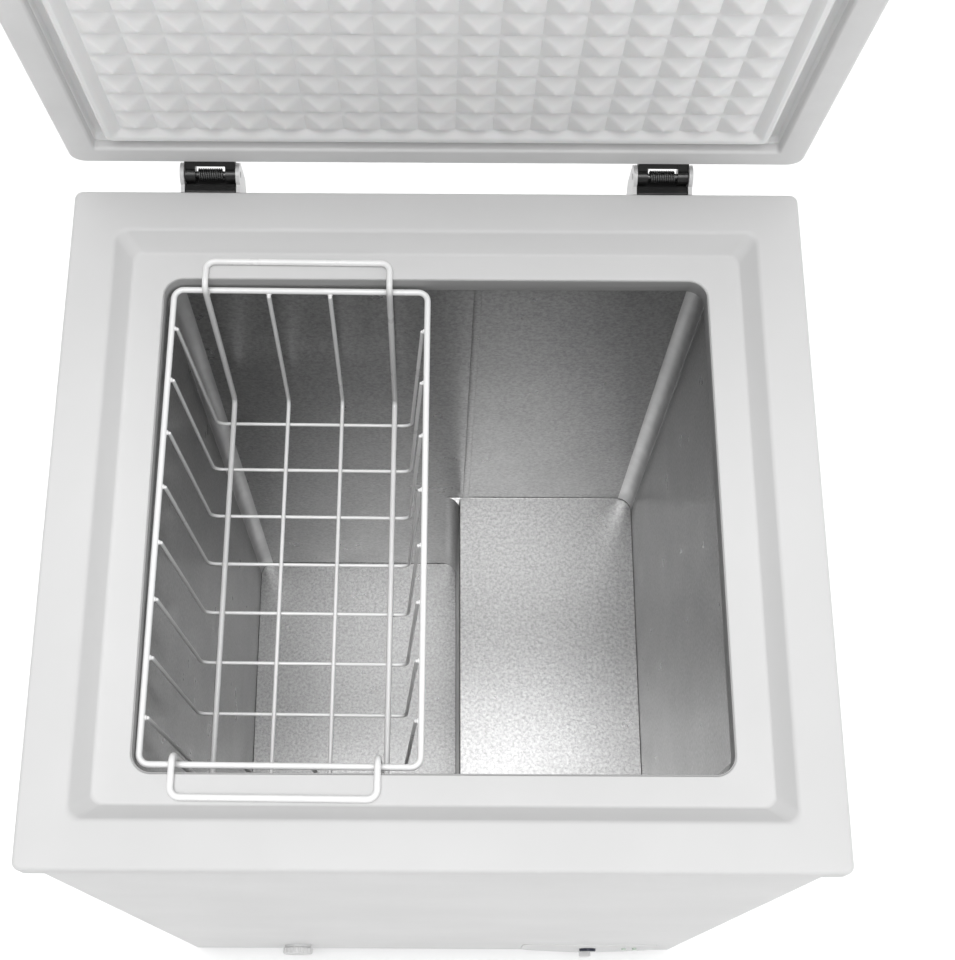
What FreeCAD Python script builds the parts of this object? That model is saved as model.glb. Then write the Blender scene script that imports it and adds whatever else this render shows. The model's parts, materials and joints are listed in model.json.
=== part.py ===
import FreeCAD, Part
import math
import os

# A small chest freezer with its lid open and one wire basket hung over the deep well.
# Millimetres. Origin on the floor under the middle of the cabinet, +X to the right as
# seen from the front, -Y towards the front, +Z up. Heights called "z" in the cabinet
# section are measured down from the rim's flat top face and turned into floor heights
# by up().

V = FreeCAD.Vector
X_AXIS, Y_AXIS, Z_AXIS = V(1, 0, 0), V(0, 1, 0), V(0, 0, 1)

# --- driving dimensions -------------------------------------------------------------
RIM_WIDTH = 560.0        # plastic top frame, left to right
RIM_DEPTH = 518.0        # plastic top frame, front to back
RIM_TOP = 805.0          # floor to the frame's flat top face
RIM_CORNER = 6.0         # plan radius of the frame's outer corners
BODY_BOTTOM = 18.0       # floor to the underside of the cabinet

RIM_OVERHANG = 4.6       # frame beyond the painted cabinet skin
RIM_SKIRT = 18.0         # height of the frame's outer skirt
RIM_WALL = 3.0           # moulding thickness
BORDER = 34.0            # width of the flat border the lid seal lands on
SLOPE_END = 46.0         # where the sloped band meets the recessed ledge
LEDGE_DROP = 15.0        # depth of the ledge below the border
LIP_DROP = 30.0          # lower edge of the grey strip inside the opening
OPENING_X = 208.0        # half width of the opening
OPENING_Y = 190.5        # half depth of the opening
OPENING_CORNER = 14.0
STRIP = 0.9              # thickness of the grey strip

SHEET = 0.8              # painted steel skin
WRAP_CORNER = 5.0        # plan radius of the skin's two front corners
LINER_X = 209.0          # half width of the liner
LINER_Y = 192.0          # half depth of the liner
LINER_SHEET = 0.8
LINER_CORNER = 15.0
WELL_FLOOR = -717.0      # floor of the deep well, from the frame's top
STEP_TOP = -490.0        # top of the compressor step, from the frame's top
STEP_FACE_X = 26.0       # left face of the compressor step

BAY_LEFT = 92.0          # machine bay under the step: left wall
BAY_TOP = 255.0          # machine bay ceiling above the floor

PIN_BACK = 15.0          # hinge pin behind the frame's back edge
PIN_RADIUS = 2.5
HINGE_X = 175.5          # hinge centres, left and right
HINGE_HALF = 20.0        # half the hinge's inside width
LID_OPEN_DEG = 82.3      # the lid's angle as modelled

LID_DEPTH = 514.4
LID_BOTTOM = 8.0         # closed lid: lower rim above the frame's top
LID_TOP = 45.0           # closed lid: top above the frame's top
LID_CORNER = 12.0
PYRAMID_COLUMNS = 17
PYRAMID_ROWS = 16
PANEL_WIDTH = 466.0      # quilted inner panel of the lid
PANEL_DEPTH = 424.0

SCREW_RADIUS = 1.9       # shank of every pan-head screw
TUBE_RADIUS = 3.2        # evaporator and condenser tube
TUBE_TAPE = 1.0          # gap between a tube and the sheet it is taped to
EASE = 0.3               # gap left between faces that belong to different moving groups

# --- values worked out from them ----------------------------------------------------
RIM_X, RIM_Y = RIM_WIDTH / 2, RIM_DEPTH / 2
BODY_X, BODY_Y = RIM_X - RIM_OVERHANG, RIM_Y - RIM_OVERHANG
SKIN_X, SKIN_Y = BODY_X - SHEET, BODY_Y - SHEET
PIN_Y, PIN_Z = RIM_Y + PIN_BACK, RIM_TOP
LID_FRONT = -RIM_Y
LID_BACK = LID_FRONT + LID_DEPTH
FOAM_TOP = RIM_TOP - RIM_SKIRT


def up(z):
    """Floor height of a level given from the frame's top face."""
    return RIM_TOP + z


# --- shape helpers ------------------------------------------------------------------
def box(x0, x1, y0, y1, z0, z1):
    return Part.makeBox(x1 - x0, y1 - y0, z1 - z0, V(x0, y0, z0))


def cylinder(start, direction, radius, length):
    return Part.makeCylinder(radius, length, start, direction)


def tube(start, direction, outer, inner, length):
    return cylinder(start, direction, outer, length).cut(cylinder(start, direction, inner, length))


def rounded_outline(x0, x1, y0, y1, z, r):
    """Closed rounded rectangle at height z."""
    k = r * (1 - math.sqrt(0.5))
    edges = [
        Part.makeLine(V(x0 + r, y0, z), V(x1 - r, y0, z)),
        Part.Arc(V(x1 - r, y0, z), V(x1 - k, y0 + k, z), V(x1, y0 + r, z)).toShape(),
        Part.makeLine(V(x1, y0 + r, z), V(x1, y1 - r, z)),
        Part.Arc(V(x1, y1 - r, z), V(x1 - k, y1 - k, z), V(x1 - r, y1, z)).toShape(),
        Part.makeLine(V(x1 - r, y1, z), V(x0 + r, y1, z)),
        Part.Arc(V(x0 + r, y1, z), V(x0 + k, y1 - k, z), V(x0, y1 - r, z)).toShape(),
        Part.makeLine(V(x0, y1 - r, z), V(x0, y0 + r, z)),
        Part.Arc(V(x0, y0 + r, z), V(x0 + k, y0 + k, z), V(x0 + r, y0, z)).toShape(),
    ]
    return Part.Wire(edges)


def rounded_block(x0, x1, y0, y1, z0, z1, r):
    face = Part.Face(rounded_outline(x0, x1, y0, y1, z0, r))
    return face.extrude(V(0, 0, z1 - z0))


def centred_block(half_x, half_y, z0, z1, r):
    return rounded_block(-half_x, half_x, -half_y, half_y, z0, z1, r)


def tapered_block(half_x0, half_y0, z0, half_x1, half_y1, z1, r):
    """Solid between two centred rounded rectangles of different size."""
    low = rounded_outline(-half_x0, half_x0, -half_y0, half_y0, z0, r)
    high = rounded_outline(-half_x1, half_x1, -half_y1, half_y1, z1, r)
    return Part.makeLoft([low, high], True, True)


def extruded_polygon(points, direction):
    """Prism from a closed list of corner points."""
    return Part.Face(Part.makePolygon(points + [points[0]])).extrude(direction)


def bent_path(points, bend):
    """Straight runs joined by tangent arcs of one radius."""
    cut = {}
    for i in range(1, len(points) - 1):
        here = points[i]
        back = (points[i - 1] - here).normalize()
        ahead = (points[i + 1] - here).normalize()
        half = back.getAngle(ahead) / 2
        reach = bend / math.tan(half)
        middle = (back + ahead).normalize() * (bend / math.sin(half) - bend)
        cut[i] = (here + back * reach, here + middle, here + ahead * reach)
    edges = []
    for i in range(len(points) - 1):
        start = cut[i][2] if i in cut else points[i]
        end = cut[i + 1][0] if i + 1 in cut else points[i + 1]
        if start.distanceToPoint(end) > 1e-6:
            edges.append(Part.makeLine(start, end))
        if i + 1 in cut:
            edges.append(Part.Arc(*cut[i + 1]).toShape())
    return Part.Wire(edges)


def rod(points, radius, bend):
    """Round bar or tube bent along the given corner points."""
    path = bent_path(points, bend)
    first = path.Edges[0]
    start = first.valueAt(first.FirstParameter)
    heading = first.tangentAt(first.FirstParameter)
    profile = Part.Wire(Part.makeCircle(radius, start, heading))
    solid = path.makePipeShell([profile], True, True)
    return solid if solid.Volume > 0 else solid.reversed()


def pan_screw(head, direction, radius, length):
    """Pan-head screw: head centre on the clamped face, direction points into the part."""
    out = direction * -1
    height = radius * 1.3
    dome = cylinder(head, out, radius * 2, height)
    edge = [e for e in dome.Edges if (e.CenterOfMass - head).dot(out) > height * 0.9]
    dome = dome.makeFillet(height * 0.6, [e for e in edge if e.Closed][:1])
    shank = cylinder(head, direction, radius, length)
    return dome.fuse(shank)


def group(solids):
    return Part.makeCompound(solids)


# --- cabinet ------------------------------------------------------------------------
def liner_cavity(grow):
    """Storage space grown by the given amount on every wall and floor."""
    half_y = LINER_Y + grow
    upper = centred_block(LINER_X + grow, half_y, up(STEP_TOP) - grow, up(-RIM_SKIRT),
                          LINER_CORNER + grow)
    well = rounded_block(-LINER_X - grow, STEP_FACE_X + grow, -half_y, half_y,
                         up(WELL_FLOOR) - grow, up(STEP_TOP) + 1.0, LINER_CORNER + grow)
    return upper.fuse(well).removeSplitter()


DRAIN_X, DRAIN_Y = -152.0, -150.0    # drain hole in the well's floor
DRAIN_Z = 62.0                       # height of the outlet in the front
DRAIN_HOLE = 11.0                    # outer radius of the drain tube
DRAIN_WALL = 1.6
DRAIN_BEND = 20.0


def inner_liner():
    shell = liner_cavity(LINER_SHEET).cut(liner_cavity(0.0))
    return shell.cut(cylinder(V(DRAIN_X, DRAIN_Y, up(WELL_FLOOR) - 5), Z_AXIS, DRAIN_HOLE, 10))


PANEL_X0, PANEL_X1 = 101.0, 250.0    # control panel on the front
PANEL_Z0, PANEL_Z1 = 27.0, 98.0
KNOB_X, KNOB_Z = 175.0, 62.0
SHAFT_RADIUS = 2.9
KNOB_CUTOUT_X, KNOB_CUTOUT_Z = 32.0, 22.0    # half size of the skin's cutout behind the panel
SIDE_VENT_Y = (40.0, 215.0)          # vent in the right side of the machine bay
SIDE_VENT_Z = (70.0, 210.0)


def outer_wrap():
    """Painted steel skin bent round the left, front and right."""
    top = up(-RIM_WALL) - 0.4
    outer = rounded_block(-BODY_X, BODY_X, -BODY_Y, BODY_Y + 50, BODY_BOTTOM, top, WRAP_CORNER)
    inner = rounded_block(-SKIN_X, SKIN_X, -SKIN_Y, BODY_Y + 60, BODY_BOTTOM, top,
                          WRAP_CORNER - SHEET)
    skin = outer.cut(inner).common(box(-400, 400, -400, BODY_Y, 0, 900))
    knob_hole = box(KNOB_X - KNOB_CUTOUT_X, KNOB_X + KNOB_CUTOUT_X, -300, -200,
                    KNOB_Z - KNOB_CUTOUT_Z, KNOB_Z + KNOB_CUTOUT_Z)
    drain_hole = cylinder(V(DRAIN_X, -300, DRAIN_Z), Y_AXIS, DRAIN_HOLE, 100)
    vent = box(200, 300, *SIDE_VENT_Y, *SIDE_VENT_Z)
    return skin.cut(group([knob_hole, drain_hole, vent]))


def side_vent_grille():
    """Louvred plastic grille set into the right side of the machine bay."""
    border, thick, depth, wall = 8.0, 2.2, 4.0, 2.5
    rows, pitch, slot, first, bar = 12, 11.0, 4.5, 7.5, 4.0
    y0, y1 = SIDE_VENT_Y
    z0, z1 = SIDE_VENT_Z
    front = BODY_X + thick
    face = box(BODY_X, front, y0 - border, y1 + border, z0 - border, z1 + border)
    face = face.makeFillet(1.2, [e for e in face.Edges if e.CenterOfMass.x > front - 0.2])
    plug = box(SKIN_X - depth, BODY_X, y0 + 0.2, y1 - 0.2, z0 + 0.2, z1 - 0.2)
    hollow = box(SKIN_X - depth - 1, BODY_X, y0 + wall, y1 - wall, z0 + wall, z1 - wall)
    grille = face.fuse(plug.cut(hollow))
    middle = (y0 + y1) / 2
    slots = []
    for row in range(rows):
        z = z0 + first + row * pitch
        for low, high in ((y0 + border, middle - bar), (middle + bar, y1 - border)):
            slots.append(box(BODY_X - 1, BODY_X + 5, low, high, z, z + slot))
    return grille.cut(group(slots))


REAR_VENT_X = (104.0, 264.0)
REAR_VENT_Z = (30.0, 244.0)


def back_panel():
    panel = box(-SKIN_X, SKIN_X, SKIN_Y, BODY_Y, BODY_BOTTOM + 1.0, FOAM_TOP)
    return panel.cut(box(*REAR_VENT_X, SKIN_Y - 5, BODY_Y + 5, *REAR_VENT_Z))


REAR_SCREWS = [(x, z) for x in (99.5, 268.5) for z in (40.0, 137.0, 234.0)]
REAR_COVER = 1.0                     # thickness of the rear grille
INLET_X = (118.0, 158.0)             # cable inlet in the rear grille's lower corner
INLET_Z = (32.0, 60.0)
CORD_X, CORD_Z = 138.0, 46.0


def rear_grille():
    """Slotted steel cover over the back of the machine bay."""
    side, end = 9.0, 5.0
    columns, column_pitch, slot_length = 3, 50.0, 38.0
    rows, row_pitch, slot_height = 12, 16.0, 6.0
    x0, x1 = REAR_VENT_X
    z0, z1 = REAR_VENT_Z
    cover = box(x0 - side, x1 + side, BODY_Y, BODY_Y + REAR_COVER, z0 - end, z1 + end)
    slots = []
    for column in range(columns):
        left = x0 + 10 + column * column_pitch
        for row in range(rows):
            z = z0 + 14 + row * row_pitch
            slots.append(box(left, left + slot_length, BODY_Y - 5, BODY_Y + 5, z, z + slot_height))
    inlet = box(*INLET_X, BODY_Y - 5, BODY_Y + 5, *INLET_Z)
    return cover.cut(group(slots + [inlet]))


def rear_grille_screws():
    return group([pan_screw(V(x, BODY_Y + REAR_COVER, z), V(0, -1, 0), SCREW_RADIUS, 8.0)
                  for x, z in REAR_SCREWS])


def cord_inlet():
    """Moulded inlet block in the grille's lower corner, with a round cable entry."""
    gap, depth, proud, cable = 0.2, 14.0, 3.0, 4.2
    block = box(INLET_X[0] + gap, INLET_X[1] - gap, BODY_Y - depth, BODY_Y + proud,
                INLET_Z[0] + gap, INLET_Z[1] - gap)
    block = block.makeFillet(2.0, [e for e in block.Edges if e.CenterOfMass.y > BODY_Y + proud - 0.5])
    return block.cut(cylinder(V(CORD_X, BODY_Y - 8, CORD_Z), Y_AXIS, cable, 30))


def base_plate():
    plate = inside_skin(BODY_BOTTOM, BODY_BOTTOM + 1.0)
    slot, pitch = 5, 12
    slots = [box(x, x + slot, -190, -60, 0, 50) for x in range(120, 250, pitch)]
    return plate.cut(group(slots))


def inside_skin(z0, z1):
    """Block that fills the painted skin, with its two rounded front corners."""
    long = rounded_block(-SKIN_X, SKIN_X, -SKIN_Y, SKIN_Y + 50, z0, z1, WRAP_CORNER - SHEET)
    return long.common(box(-SKIN_X, SKIN_X, -SKIN_Y, SKIN_Y, z0, z1))


def machine_bay():
    return box(BAY_LEFT, SKIN_X + 1, -SKIN_Y - 1, SKIN_Y + 1, BODY_BOTTOM, BAY_TOP)


def coil_path(half_x, half_y, levels, gap):
    """Corner points of one tube that runs round the cabinet level by level.

    Every level starts and ends beside a gap in the middle of the back, where the tube
    turns down to the next level and runs round the other way."""
    loop = [V(gap, half_y, 0), V(half_x, half_y, 0), V(half_x, -half_y, 0),
            V(-half_x, -half_y, 0), V(-half_x, half_y, 0), V(-gap, half_y, 0)]
    points = []
    for number, height in enumerate(levels):
        turn = loop if number % 2 == 0 else loop[::-1]
        points += [p + V(0, 0, height) for p in turn]
    return points


EVAPORATOR_LEVELS = [up(z) for z in range(-70, -460, -62)]
CONDENSER_LEVELS = list(range(300, 730, 70))
COIL_GAP = 30.0                      # half the gap in each level at the back


def evaporator_tube():
    """Cold tube wound on the outside of the liner's upper walls."""
    reach = LINER_SHEET + TUBE_TAPE + TUBE_RADIUS
    return rod(coil_path(LINER_X + reach, LINER_Y + reach, EVAPORATOR_LEVELS, COIL_GAP),
               TUBE_RADIUS, LINER_CORNER + reach)


def condenser_tube():
    """Warm tube behind the painted skin of the side, front and back walls."""
    reach = TUBE_TAPE + TUBE_RADIUS
    return rod(coil_path(SKIN_X - reach, SKIN_Y - reach, CONDENSER_LEVELS, COIL_GAP),
               TUBE_RADIUS, 20.0)


def drain_path(top, front):
    """Corner points of the drain, from above or below the well's floor to the front."""
    return [V(DRAIN_X, DRAIN_Y, top), V(DRAIN_X, DRAIN_Y, DRAIN_Z), V(DRAIN_X, front, DRAIN_Z)]


def drain_tube():
    """Drain from the well's floor down and out through the front skin."""
    collar, collar_depth = 3.5, 2.5
    path = drain_path(up(WELL_FLOOR) - LINER_SHEET, -BODY_Y - 3)
    outer = rod(path, DRAIN_HOLE, DRAIN_BEND)
    bore = rod(path, DRAIN_HOLE - DRAIN_WALL, DRAIN_BEND)
    ring = tube(V(DRAIN_X, -BODY_Y - collar_depth, DRAIN_Z), Y_AXIS, DRAIN_HOLE + collar,
                DRAIN_HOLE, collar_depth)
    return outer.cut(bore).fuse(ring)


def drain_core():
    """Everything the drain tube fills, cut out of the foam."""
    return rod(drain_path(up(WELL_FLOOR) + 5, -BODY_Y - 10), DRAIN_HOLE, DRAIN_BEND)


def cabinet_foam(embedded):
    block = inside_skin(BODY_BOTTOM + 1.0, FOAM_TOP)
    block = block.cut(liner_cavity(LINER_SHEET)).cut(machine_bay())
    for piece in embedded:
        block = block.cut(piece)
    return block


def top_frame():
    """Moulded frame: flat border, sloped band and recessed ledge round the opening."""
    recess_corner = 8.0
    block = centred_block(RIM_X, RIM_Y, FOAM_TOP, RIM_TOP, RIM_CORNER)
    top_edges = [e for e in block.Edges if abs(e.CenterOfMass.z - RIM_TOP) < 0.01]
    block = block.makeFillet(1.8, top_edges)
    recess = tapered_block(RIM_X - SLOPE_END, RIM_Y - SLOPE_END, up(-LEDGE_DROP),
                           RIM_X - BORDER, RIM_Y - BORDER, RIM_TOP, recess_corner)
    through = centred_block(OPENING_X + STRIP, OPENING_Y + STRIP, 700, 900, OPENING_CORNER + STRIP)
    under = centred_block(BODY_X + EASE, BODY_Y + EASE, FOAM_TOP - 1, up(-RIM_WALL), 1.0)
    core = tapered_block(RIM_X - SLOPE_END + RIM_WALL, RIM_Y - SLOPE_END + RIM_WALL,
                         FOAM_TOP - 1, RIM_X - BORDER + RIM_WALL, RIM_Y - BORDER + RIM_WALL,
                         up(-RIM_WALL), recess_corner)
    return block.cut(recess).cut(through).cut(under.cut(core))


def opening_strip():
    """Grey strip that covers the liner's cut edge inside the opening."""
    outer = centred_block(OPENING_X + STRIP, OPENING_Y + STRIP, up(-LIP_DROP), up(-LEDGE_DROP),
                          OPENING_CORNER + STRIP)
    inner = centred_block(OPENING_X, OPENING_Y, 700, 900, OPENING_CORNER)
    return outer.cut(inner)


FOOT_PLACES = [(x, y) for x in (-244.0, 244.0) for y in (-222.0, 222.0)]
FOOT_WELL = 10.0         # depth of the screw's well in each foot


def hexagon(centre, radius, height):
    """Upright hexagonal prism with its base centred at the given point."""
    angles = [math.radians(60 * k) for k in range(6)]
    return extruded_polygon([centre + V(radius * math.cos(a), radius * math.sin(a), 0)
                             for a in angles], V(0, 0, height))


def feet():
    """Four tapered plastic feet, each with a well for its screw's head."""
    made = []
    for x, y in FOOT_PLACES:
        foot = Part.makeCone(21.0, 24.0, BODY_BOTTOM, V(x, y, 0), Z_AXIS)
        made.append(foot.cut(cylinder(V(x, y, 0), Z_AXIS, 8.0, FOOT_WELL)))
    return group(made)


def foot_screws():
    """One screw up through each foot, clear of the floor."""
    made = []
    for x, y in FOOT_PLACES:
        low = V(x, y, FOOT_WELL - 4.0)
        head = cylinder(low, Z_AXIS, 6.0, 4.0)
        made.append(head.cut(hexagon(low, 3.0, 2.5)))
    return group(made)


# --- cooling machinery in the bay -----------------------------------------------------
COMPRESSOR = V(184.0, 112.0, 0)      # centre line of the compressor
MOUNT_Z = BODY_BOTTOM + 1.0          # top of the base plate
GROMMETS = [(COMPRESSOR.x + dx, COMPRESSOR.y + dy) for dx in (-58.0, 58.0) for dy in (-78.0, 78.0)]
FEET_Z = MOUNT_Z + 16.0              # underside of the compressor's foot plate
FOOT_PLATE = 2.5                     # thickness of the foot plate
GROMMET_NECK = 7.0                   # radius where a grommet passes through the plate
GROMMET_TOP = FEET_Z + FOOT_PLATE + 3.0


def compressor_shell():
    """Welded steel can: lower bowl, seam flange and domed cover."""
    z = FEET_Z + FOOT_PLATE
    profile = [V(0, 0, z), V(52, 0, z), V(66, 0, z + 14), V(66, 0, z + 66), V(70, 0, z + 66),
               V(70, 0, z + 71), V(65, 0, z + 71), V(65, 0, z + 112), V(50, 0, z + 132),
               V(22, 0, z + 142), V(0, 0, z + 143)]
    outline = Part.Face(Part.makePolygon(profile + [profile[0]]))
    can = outline.revolve(V(0, 0, 0), Z_AXIS, 360)
    can.translate(COMPRESSOR)
    return can


def compressor_foot_plate():
    x, y = COMPRESSOR.x, COMPRESSOR.y
    plate = rounded_block(x - 68, x + 68, y - 90, y + 90, FEET_Z, FEET_Z + FOOT_PLATE, 10)
    waist = [box(x0, x1, y - 52, y + 52, 0, 100) for x0, x1 in ((x - 90, x - 44), (x + 44, x + 90))]
    holes = [cylinder(V(a, b, 0), Z_AXIS, GROMMET_NECK, 100) for a, b in GROMMETS]
    return plate.cut(group(waist)).cut(group(holes))


def compressor_grommets():
    made = []
    for x, y in GROMMETS:
        grommet = cylinder(V(x, y, MOUNT_Z), Z_AXIS, 11.0, FEET_Z - MOUNT_Z)
        neck = cylinder(V(x, y, FEET_Z), Z_AXIS, GROMMET_NECK, FOOT_PLATE)
        collar = cylinder(V(x, y, FEET_Z + FOOT_PLATE), Z_AXIS, 10.0,
                          GROMMET_TOP - FEET_Z - FOOT_PLATE)
        bore = cylinder(V(x, y, 0), Z_AXIS, 4.0, 100)
        made.append(grommet.fuse(neck).fuse(collar).cut(bore))
    return group(made)


def compressor_bolts():
    """Stud, washer and nut in each grommet."""
    washer_thick, nut_height, proud = 1.2, 4.0, 6.0
    made = []
    for x, y in GROMMETS:
        shank = cylinder(V(x, y, MOUNT_Z), Z_AXIS, 3.8, GROMMET_TOP - MOUNT_Z + proud)
        washer = cylinder(V(x, y, GROMMET_TOP), Z_AXIS, 8.0, washer_thick)
        nut = hexagon(V(x, y, GROMMET_TOP + washer_thick), 6.0, nut_height)
        made.append(shank.fuse(washer).fuse(nut))
    return group(made)


def relay_box():
    """Terminal cover with the start relay, on the compressor's front side."""
    x, y = COMPRESSOR.x, COMPRESSOR.y
    cover = box(x - 26, x + 26, y - 92, y - 60, FEET_Z + 30, FEET_Z + 82)
    cover = cover.makeFillet(4.0, [e for e in cover.Edges if e.CenterOfMass.y < y - 90])
    return cover.cut(compressor_shell())


DRIER = V(120.0, -20.0, 70.0)        # lower end of the filter drier
DRIER_HEIGHT = 100.0
SHELL_PORT_Z = FEET_Z + 60.0         # where the suction and charging pipes join the can


def filter_drier():
    """Copper drier, necked down at both ends, upright on the bay's left wall."""
    neck, body, straight, shoulder = 3.3, 9.0, 6.0, 16.0
    profile = [V(0, 0, 0), V(neck, 0, 0), V(neck, 0, straight), V(body, 0, shoulder),
               V(body, 0, DRIER_HEIGHT - shoulder), V(neck, 0, DRIER_HEIGHT - straight),
               V(neck, 0, DRIER_HEIGHT), V(0, 0, DRIER_HEIGHT)]
    drier = Part.Face(Part.makePolygon(profile + [profile[0]])).revolve(V(0, 0, 0), Z_AXIS, 360)
    drier.translate(DRIER)
    return drier


def discharge_pipe():
    """From the compressor's cover up to the start of the condenser."""
    start = V(COMPRESSOR.x + 30, COMPRESSOR.y + 48, FEET_Z + 100)
    elbow = V(start.x, 205, start.z)
    pipe = rod([start, elbow, V(elbow.x, elbow.y, BAY_TOP)], 2.5, 14.0)
    return pipe.cut(compressor_shell())


def suction_pipe():
    """From the end of the evaporator down to the compressor's bowl."""
    x, y = COMPRESSOR.x, COMPRESSOR.y
    start = V(x - 40, y - 45, SHELL_PORT_Z)
    elbow = V(x - 62, y - 78, SHELL_PORT_Z)
    pipe = rod([start, elbow, V(elbow.x, elbow.y, BAY_TOP)], TUBE_RADIUS, 14.0)
    return pipe.cut(compressor_shell())


def process_pipe():
    """Short charging stub with its end pinched shut."""
    start = V(COMPRESSOR.x + 48, COMPRESSOR.y - 30, SHELL_PORT_Z)
    elbow = V(COMPRESSOR.x + 74, COMPRESSOR.y - 48, SHELL_PORT_Z)
    length, pinched, half_wide, half_thick = 50.0, 12.0, 5.0, 1.2
    end = elbow + V(0, 0, length)
    stub = rod([start, elbow, end], TUBE_RADIUS, 10.0)
    flat = box(end.x - half_wide, end.x + half_wide, end.y - half_thick, end.y + half_thick,
               end.z, end.z + pinched)
    return stub.fuse(flat).cut(compressor_shell())


def capillary_tube():
    """Thin tube from the drier, wound in a small coil and led into the ceiling."""
    coil_radius, pitch, turns, radius = 16.0, 3.2, 5, 1.1
    top = DRIER.z + DRIER_HEIGHT
    centre = V(DRIER.x + coil_radius, DRIER.y, top + 8)
    helix = Part.makeHelix(pitch, pitch * turns, coil_radius)
    helix.rotate(V(0, 0, 0), Z_AXIS, 180)
    helix.translate(centre)
    edge = helix.Edges[0]
    start, heading = edge.valueAt(edge.FirstParameter), edge.tangentAt(edge.FirstParameter)
    profile = Part.Wire(Part.makeCircle(radius, start, heading))
    coil = Part.Wire(helix.Edges).makePipeShell([profile], True, True)
    lead = rod([V(DRIER.x, DRIER.y, top), V(DRIER.x, DRIER.y, top + 8.6)], radius, 3.0)
    end = V(DRIER.x, DRIER.y, centre.z + pitch * turns)
    tail = rod([end - V(0, 0, 0.6), V(end.x, end.y, BAY_TOP)], radius, 3.0)
    return coil.fuse(lead).fuse(tail)


def thermostat_body():
    """Thermostat box behind the front skin, with its threaded neck and three terminals."""
    half_wide, half_high, near, far = 22.0, 16.0, 4.0, 34.0
    y = -SKIN_Y
    case = box(KNOB_X - half_wide, KNOB_X + half_wide, y + near, y + far,
               KNOB_Z - half_high, KNOB_Z + half_high)
    case = case.makeFillet(2.0, [e for e in case.Edges if e.CenterOfMass.y > y + far - 1])
    whole = case.fuse(cylinder(V(KNOB_X, y - 1.5, KNOB_Z), Y_AXIS, 6.0, 6.0))
    for k in range(3):
        left = KNOB_X - 14 + 12 * k
        whole = whole.fuse(box(left, left + 6, y + far, y + far + 8, KNOB_Z - 0.4, KNOB_Z + 0.4))
    bore = SHAFT_RADIUS + 0.16
    return whole.cut(cylinder(V(KNOB_X, y - 10, KNOB_Z), Y_AXIS, bore, far))


def sensor_tube():
    """Thermostat's capillary, from the case up into the foam towards the liner."""
    x, y = 108.0, -SKIN_Y + 20
    return rod([V(KNOB_X - 22, y, KNOB_Z), V(x, y, KNOB_Z), V(x, y, BAY_TOP)], 1.2, 10.0)


def wiring_loom():
    """Sleeved wires from the thermostat to the relay box and on to the cable entry."""
    x, y = COMPRESSOR.x, COMPRESSOR.y
    radius, low, wall_x, rear_y = 3.0, 80.0, 104.0, 218.0
    relay = V(x, y - 92, FEET_Z + 56)
    front = rod([V(KNOB_X, -SKIN_Y + 42, KNOB_Z), V(KNOB_X, -120, KNOB_Z),
                 V(x, -50, relay.z), relay], radius, 14.0)
    rear = rod([V(x - 26, y - 80, low), V(wall_x, y - 80, low), V(wall_x, rear_y, CORD_Z),
                V(CORD_X, rear_y, CORD_Z), V(CORD_X, BODY_Y - 14, CORD_Z)], radius, 9.0)
    return group([front, rear])


# --- control panel and knob -----------------------------------------------------------
PANEL_BASE = 0.8         # thickness at the panel's ends
PANEL_UPPER = 1.4        # bulge in the middle of the upper edge
PANEL_LOWER = 3.6        # bulge in the middle of the lower edge
PANEL_BOW = 990.0        # radius of the bulge, left to right
PANEL_CORNER = 9.0
KNOB_RADIUS = 9.2
KNOB_BACK = 1.3          # back and front of the knob, from the cabinet's skin
KNOB_FRONT = 5.2
GRIP_FRONT = 10.8
GRIP_ANGLE = 215.0       # where the pointer grip points as set, anticlockwise from +X
GRIP_HALF = 2.4          # half the grip's width
GRIP_SEAT = 1.2          # how deep the grip sits in the knob's slot
SHAFT_SEAT = 1.6         # shaft's end behind the knob's face
LAMP_RADIUS = 2.5
LAMP_X = (216.0, 228.0)
LAMP_FRONT = 2.6         # lamps' faces from the cabinet's skin


def control_panel():
    """Shallow moulded bulge, deeper at its lower edge, with a dish for the knob."""
    flat = rounded_outline(PANEL_X0, PANEL_X1, PANEL_Z0, PANEL_Z1, 0, PANEL_CORNER)
    flat.rotate(V(0, 0, 0), X_AXIS, 90)
    flat.translate(V(0, -BODY_Y, 0))
    outline = Part.Face(flat)
    lean = math.degrees(math.atan((PANEL_LOWER - PANEL_UPPER) / (PANEL_Z1 - PANEL_Z0)))
    middle, front = (PANEL_X0 + PANEL_X1) / 2, -BODY_Y - PANEL_LOWER
    bow = cylinder(V(middle, front + PANEL_BOW, PANEL_Z0 - 50), Z_AXIS, PANEL_BOW, 200)
    bow.rotate(V(middle, front, PANEL_Z0), X_AXIS, -lean)
    slab = outline.extrude(V(0, -PANEL_BASE, 0))
    body = slab.fuse(outline.extrude(V(0, -5, 0)).common(bow)).removeSplitter()
    far, floor = -BODY_Y - 10, -BODY_Y - 1.0
    dish = cylinder(V(KNOB_X, far, KNOB_Z), Y_AXIS, KNOB_RADIUS + 1.0, floor - far)
    hole = cylinder(V(KNOB_X, far, KNOB_Z), Y_AXIS, 6.2, 20)
    lamps = [cylinder(V(x, far, KNOB_Z), Y_AXIS, LAMP_RADIUS, 20) for x in LAMP_X]
    return body.cut(group([dish, hole] + lamps))


def indicator_lamps():
    """Two small domed lenses."""
    y, dome_height = -BODY_Y - LAMP_FRONT, 1.2
    made = []
    for x in LAMP_X:
        stem = cylinder(V(x, y, KNOB_Z), Y_AXIS, LAMP_RADIUS, LAMP_FRONT)
        dome = Part.makeSphere(LAMP_RADIUS, V(x, y, KNOB_Z)).common(
            box(x - 5, x + 5, y - dome_height, y, KNOB_Z - 5, KNOB_Z + 5))
        made.append(stem.fuse(dome))
    return group(made)


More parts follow.
